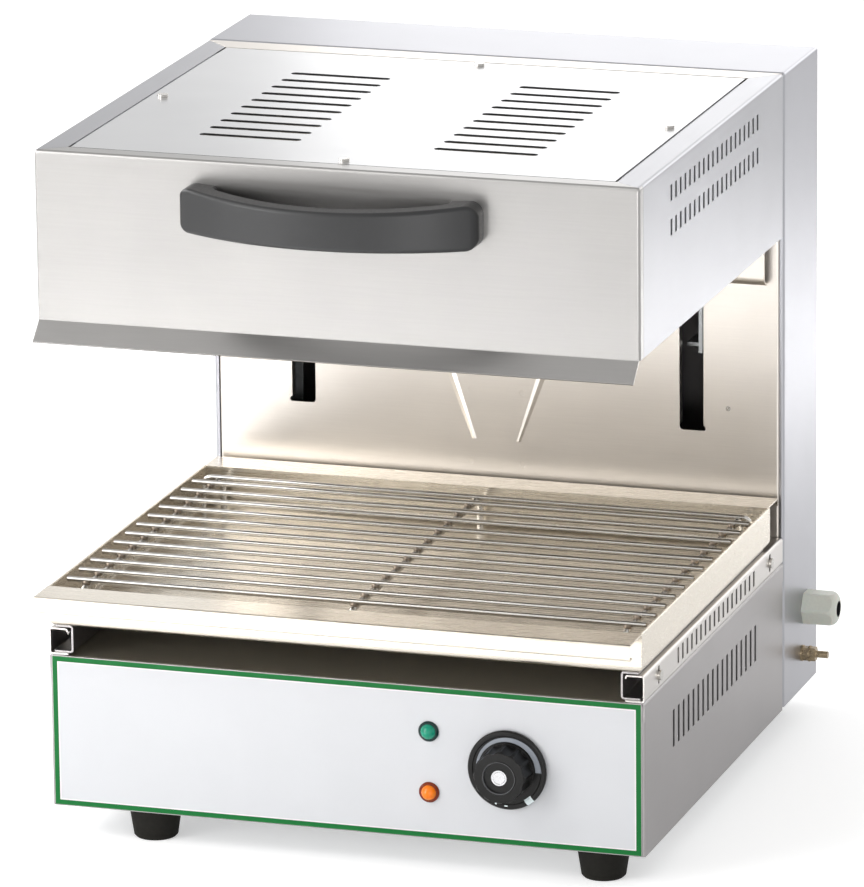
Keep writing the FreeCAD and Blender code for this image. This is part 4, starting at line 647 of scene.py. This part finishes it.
# Supply entry: a pale grey nylon cable gland and a brass earth stud on the column's right side,
# and a terminal block inside the base.
GLAND_TONE = "#D8DACF"
BRASS_TONE = "#A8977C"
BLOCK_TONE = "#DCD8CC"
DARK_BORE_TONE = "#161615"
DARK_BORE_RADIUS = 6.2 * MM


def machined_brass():
    """Turned brass, partly tarnished to brown."""
    finish, tree, shader = new_finish("machined_brass", 0.3, metallic=1.0)
    tarnish = place_noise(tree, [2.5 * MM] * 3, detail=3.0)
    tree.links.new(shade(tree, BRASS_TONE, spread(tree, tarnish, 0.7, 1.1)), shader.inputs["Base Color"])
    tree.links.new(spread(tree, tarnish, 0.2, 0.45), shader.inputs["Roughness"])
    raise_surface(tree, shader, tarnish, 0.02 * MM, 0.3 * MM)
    return finish


def gland_dark_bore_nylon():
    """The dome nut's nylon, with its bore drawn dark."""
    finish = turned_plastic("moulded_grey_nylon_dark_bore", GLAND_TONE)
    tree = finish.node_tree
    low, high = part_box("gland_dome_nut")
    place = add(tree, "ShaderNodeTexCoord").outputs["Object"]
    sockets = {0: place, 1: (low + high) / 2}
    local = add(tree, "ShaderNodeVectorMath", sockets, operation="SUBTRACT").outputs[0]
    sockets = {0: local, 1: (0, 1, 1)}
    round_axis = add(tree, "ShaderNodeVectorMath", sockets, operation="MULTIPLY").outputs[0]
    radius = add(tree, "ShaderNodeVectorMath", {0: round_axis}, operation="LENGTH").outputs["Value"]
    bore = add(tree, "ShaderNodeMath", {0: radius, 1: DARK_BORE_RADIUS}, operation="LESS_THAN").outputs[0]
    socket = tree.nodes["Principled BSDF"].inputs["Base Color"]
    tree.links.new(blend_colours(tree, bore, socket.links[0].from_socket, DARK_BORE_TONE), socket)
    return finish


grey_nylon = turned_plastic("moulded_grey_nylon", GLAND_TONE)
dress(grey_nylon, "gland_body", "gland_locknut")
dress(gland_dark_bore_nylon(), "gland_dome_nut")
dress(machined_brass(), "earth_terminal")
dress(turned_plastic("moulded_terminal_nylon", BLOCK_TONE, 0.5), "terminal_block")

# Studio: a pale floor that clips to white for the camera but keeps the soft shadow, and a white
# surround that falls off to grey overhead, with a grey card behind the object that only the steel
# mirrors. Large soft lamps light the object, and two narrow ones light the floor that it mirrors.
FLOOR_TONE = "#E6E6E6"
FLOOR_SIDE = 14.0
SURROUND_DIFFUSE = 0.68
SURROUND_MIRRORED = 1.13
ZENITH = 0.7
FLOOR_GLOW = 0.45
FLOOR_GLOW_MIRRORED = 0.22
FLAG_WAY = (-0.41, 0.88, 0.24)
FLAG_SHADE = 0.5
FLAG_EDGE = 0.7
FLAG_CORE = 0.97
CAMERA_PLACE = (1.738695, -5.403314, 1.813012)
CAMERA_LENS = 324.04
CAMERA_TURN = math.radians(17.940)
CAMERA_RISE = math.radians(15.311)
CAMERA_ROLL = math.radians(-0.6224)


def seen_by_eye(tree):
    """1 for rays that show the surround itself: camera, glossy and transmission rays."""
    rays = add(tree, "ShaderNodeLightPath").outputs
    sockets = {0: rays["Is Camera Ray"], 1: rays["Is Glossy Ray"]}
    first = add(tree, "ShaderNodeMath", sockets, operation="MAXIMUM")
    sockets = {0: first.outputs[0], 1: rays["Is Transmission Ray"]}
    return add(tree, "ShaderNodeMath", sockets, operation="MAXIMUM").outputs[0]


def make_surround():
    world = bpy.data.worlds.new("studio_surround")
    bpy.context.scene.world = world
    world.use_nodes = True
    tree = world.node_tree
    shader = tree.nodes["Background"]
    place = add(tree, "ShaderNodeTexCoord").outputs["Generated"]
    height = add(tree, "ShaderNodeSeparateXYZ", {"Vector": place}).outputs["Z"]
    fall = add(tree, "ShaderNodeMapRange", {"Value": height, "From Min": 0.25, "From Max": 0.95,
                                            "To Min": 1.0, "To Max": ZENITH}).outputs[0]
    rays = add(tree, "ShaderNodeLightPath").outputs
    toward = add(tree, "ShaderNodeVectorMath", {0: place, 1: FLAG_WAY}, operation="DOT_PRODUCT")
    flag = add(tree, "ShaderNodeMapRange", {"Value": toward.outputs["Value"],
                                            "From Min": FLAG_EDGE, "From Max": FLAG_CORE,
                                            "To Min": 1.0, "To Max": FLAG_SHADE}).outputs[0]
    lit = add(tree, "ShaderNodeMath", {0: fall, 1: SURROUND_MIRRORED}, operation="MULTIPLY").outputs[0]
    card = add(tree, "ShaderNodeMath", {0: lit, 1: flag}, operation="MULTIPLY").outputs[0]
    sockets = {0: rays["Is Camera Ray"], 2: card, 3: 1.0}
    seen = add(tree, "ShaderNodeMix", sockets, data_type="FLOAT").outputs[0]
    sockets = {0: seen_by_eye(tree), 2: SURROUND_DIFFUSE, 3: seen}
    strength = add(tree, "ShaderNodeMix", sockets, data_type="FLOAT")
    shader.inputs["Color"].default_value = (1, 1, 1, 1)
    tree.links.new(strength.outputs[0], shader.inputs["Strength"])


def make_floor():
    mesh = bpy.data.meshes.new("studio_floor")
    side = FLOOR_SIDE / 2
    corners = [(-side, -side, 0), (side, -side, 0), (side, side, 0), (-side, side, 0)]
    mesh.from_pydata(corners, [], [(0, 1, 2, 3)])
    floor = bpy.data.objects.new("studio_floor", mesh)
    bpy.context.scene.collection.objects.link(floor)
    finish, tree, shader = new_finish("studio_paper", 0.9)
    shader.inputs["Base Color"].default_value = linear(FLOOR_TONE)
    shader.inputs["Emission Color"].default_value = (1, 1, 1, 1)
    direct = add(tree, "ShaderNodeLightPath").outputs["Is Camera Ray"]
    sockets = {0: direct, 2: FLOOR_GLOW_MIRRORED, 3: FLOOR_GLOW}
    level = add(tree, "ShaderNodeMix", sockets, data_type="FLOAT")
    glow = add(tree, "ShaderNodeMath", {0: seen_by_eye(tree), 1: level.outputs[0]}, operation="MULTIPLY")
    tree.links.new(glow.outputs[0], shader.inputs["Emission Strength"])
    mesh.materials.append(finish)


def make_lamp(name, place, target, width, height, power, spread_angle=180.0):
    """A soft box: a rectangle of light that faces its target, with a grid that narrows its spread."""
    data = bpy.data.lights.new(name, "AREA")
    data.shape = "RECTANGLE"
    data.size = width
    data.size_y = height
    data.energy = power
    data.spread = math.radians(spread_angle)
    lamp = bpy.data.objects.new(name, data)
    bpy.context.scene.collection.objects.link(lamp)
    lamp.location = place
    lamp.rotation_euler = (Vector(target) - Vector(place)).to_track_quat("-Z", "Y").to_euler()


def make_camera():
    """The camera stands where the photograph was taken from."""
    back = Vector((math.sin(CAMERA_TURN) * math.cos(CAMERA_RISE),
                   -math.cos(CAMERA_TURN) * math.cos(CAMERA_RISE), math.sin(CAMERA_RISE)))
    right = (-back).cross(Vector((0, 0, 1))).normalized()
    up = right.cross(-back)
    across = math.cos(CAMERA_ROLL) * right + math.sin(CAMERA_ROLL) * up
    above = -math.sin(CAMERA_ROLL) * right + math.cos(CAMERA_ROLL) * up
    turn = Matrix((across, above, back)).transposed().to_4x4()
    data = bpy.data.cameras.new("photo_camera")
    data.lens = CAMERA_LENS
    data.sensor_width = 36.0
    data.clip_end = 50.0
    camera = bpy.data.objects.new("photo_camera", data)
    bpy.context.scene.collection.objects.link(camera)
    camera.matrix_world = Matrix.Translation(CAMERA_PLACE) @ turn
    bpy.context.scene.camera = camera


make_surround()
make_floor()
make_lamp("key_softbox", (-1.6, -1.8, 2.2), (0, 0, 0.3), 1.6, 1.2, 22.6)
make_lamp("left_softbox", (-2.2, 0.2, 1.4), (0, 0, 0.3), 1.2, 1.2, 35.0)
make_lamp("low_left_softbox", (-1.9, -2.3, 0.8), (0, 0.1, 0.3), 1.2, 1.0, 29.2)
make_lamp("rear_softbox", (0.3, 1.5, 0.85), (0, 0, 0.5), 2.0, 0.6, 4.6)
make_lamp("far_rear_softbox", (-0.3, 3.0, 1.0), (0, 0, 0.4), 2.4, 0.8, 5.1)
make_lamp("front_floor_lamp", (-0.45, -1.05, 1.3), (-0.45, -1.0, 0), 0.6, 0.4, 7.5, 60.0)
make_lamp("rear_floor_lamp", (0.75, 1.35, 0.9), (0.7, 1.35, 0), 0.5, 0.5, 3.4, 60.0)
make_lamp("low_right_softbox", (0.75, -1.9, 0.3), (0.05, -0.25, 0.48), 0.35, 0.35, 5.0)
make_camera()
bpy.context.scene.view_settings.view_transform = "Standard"
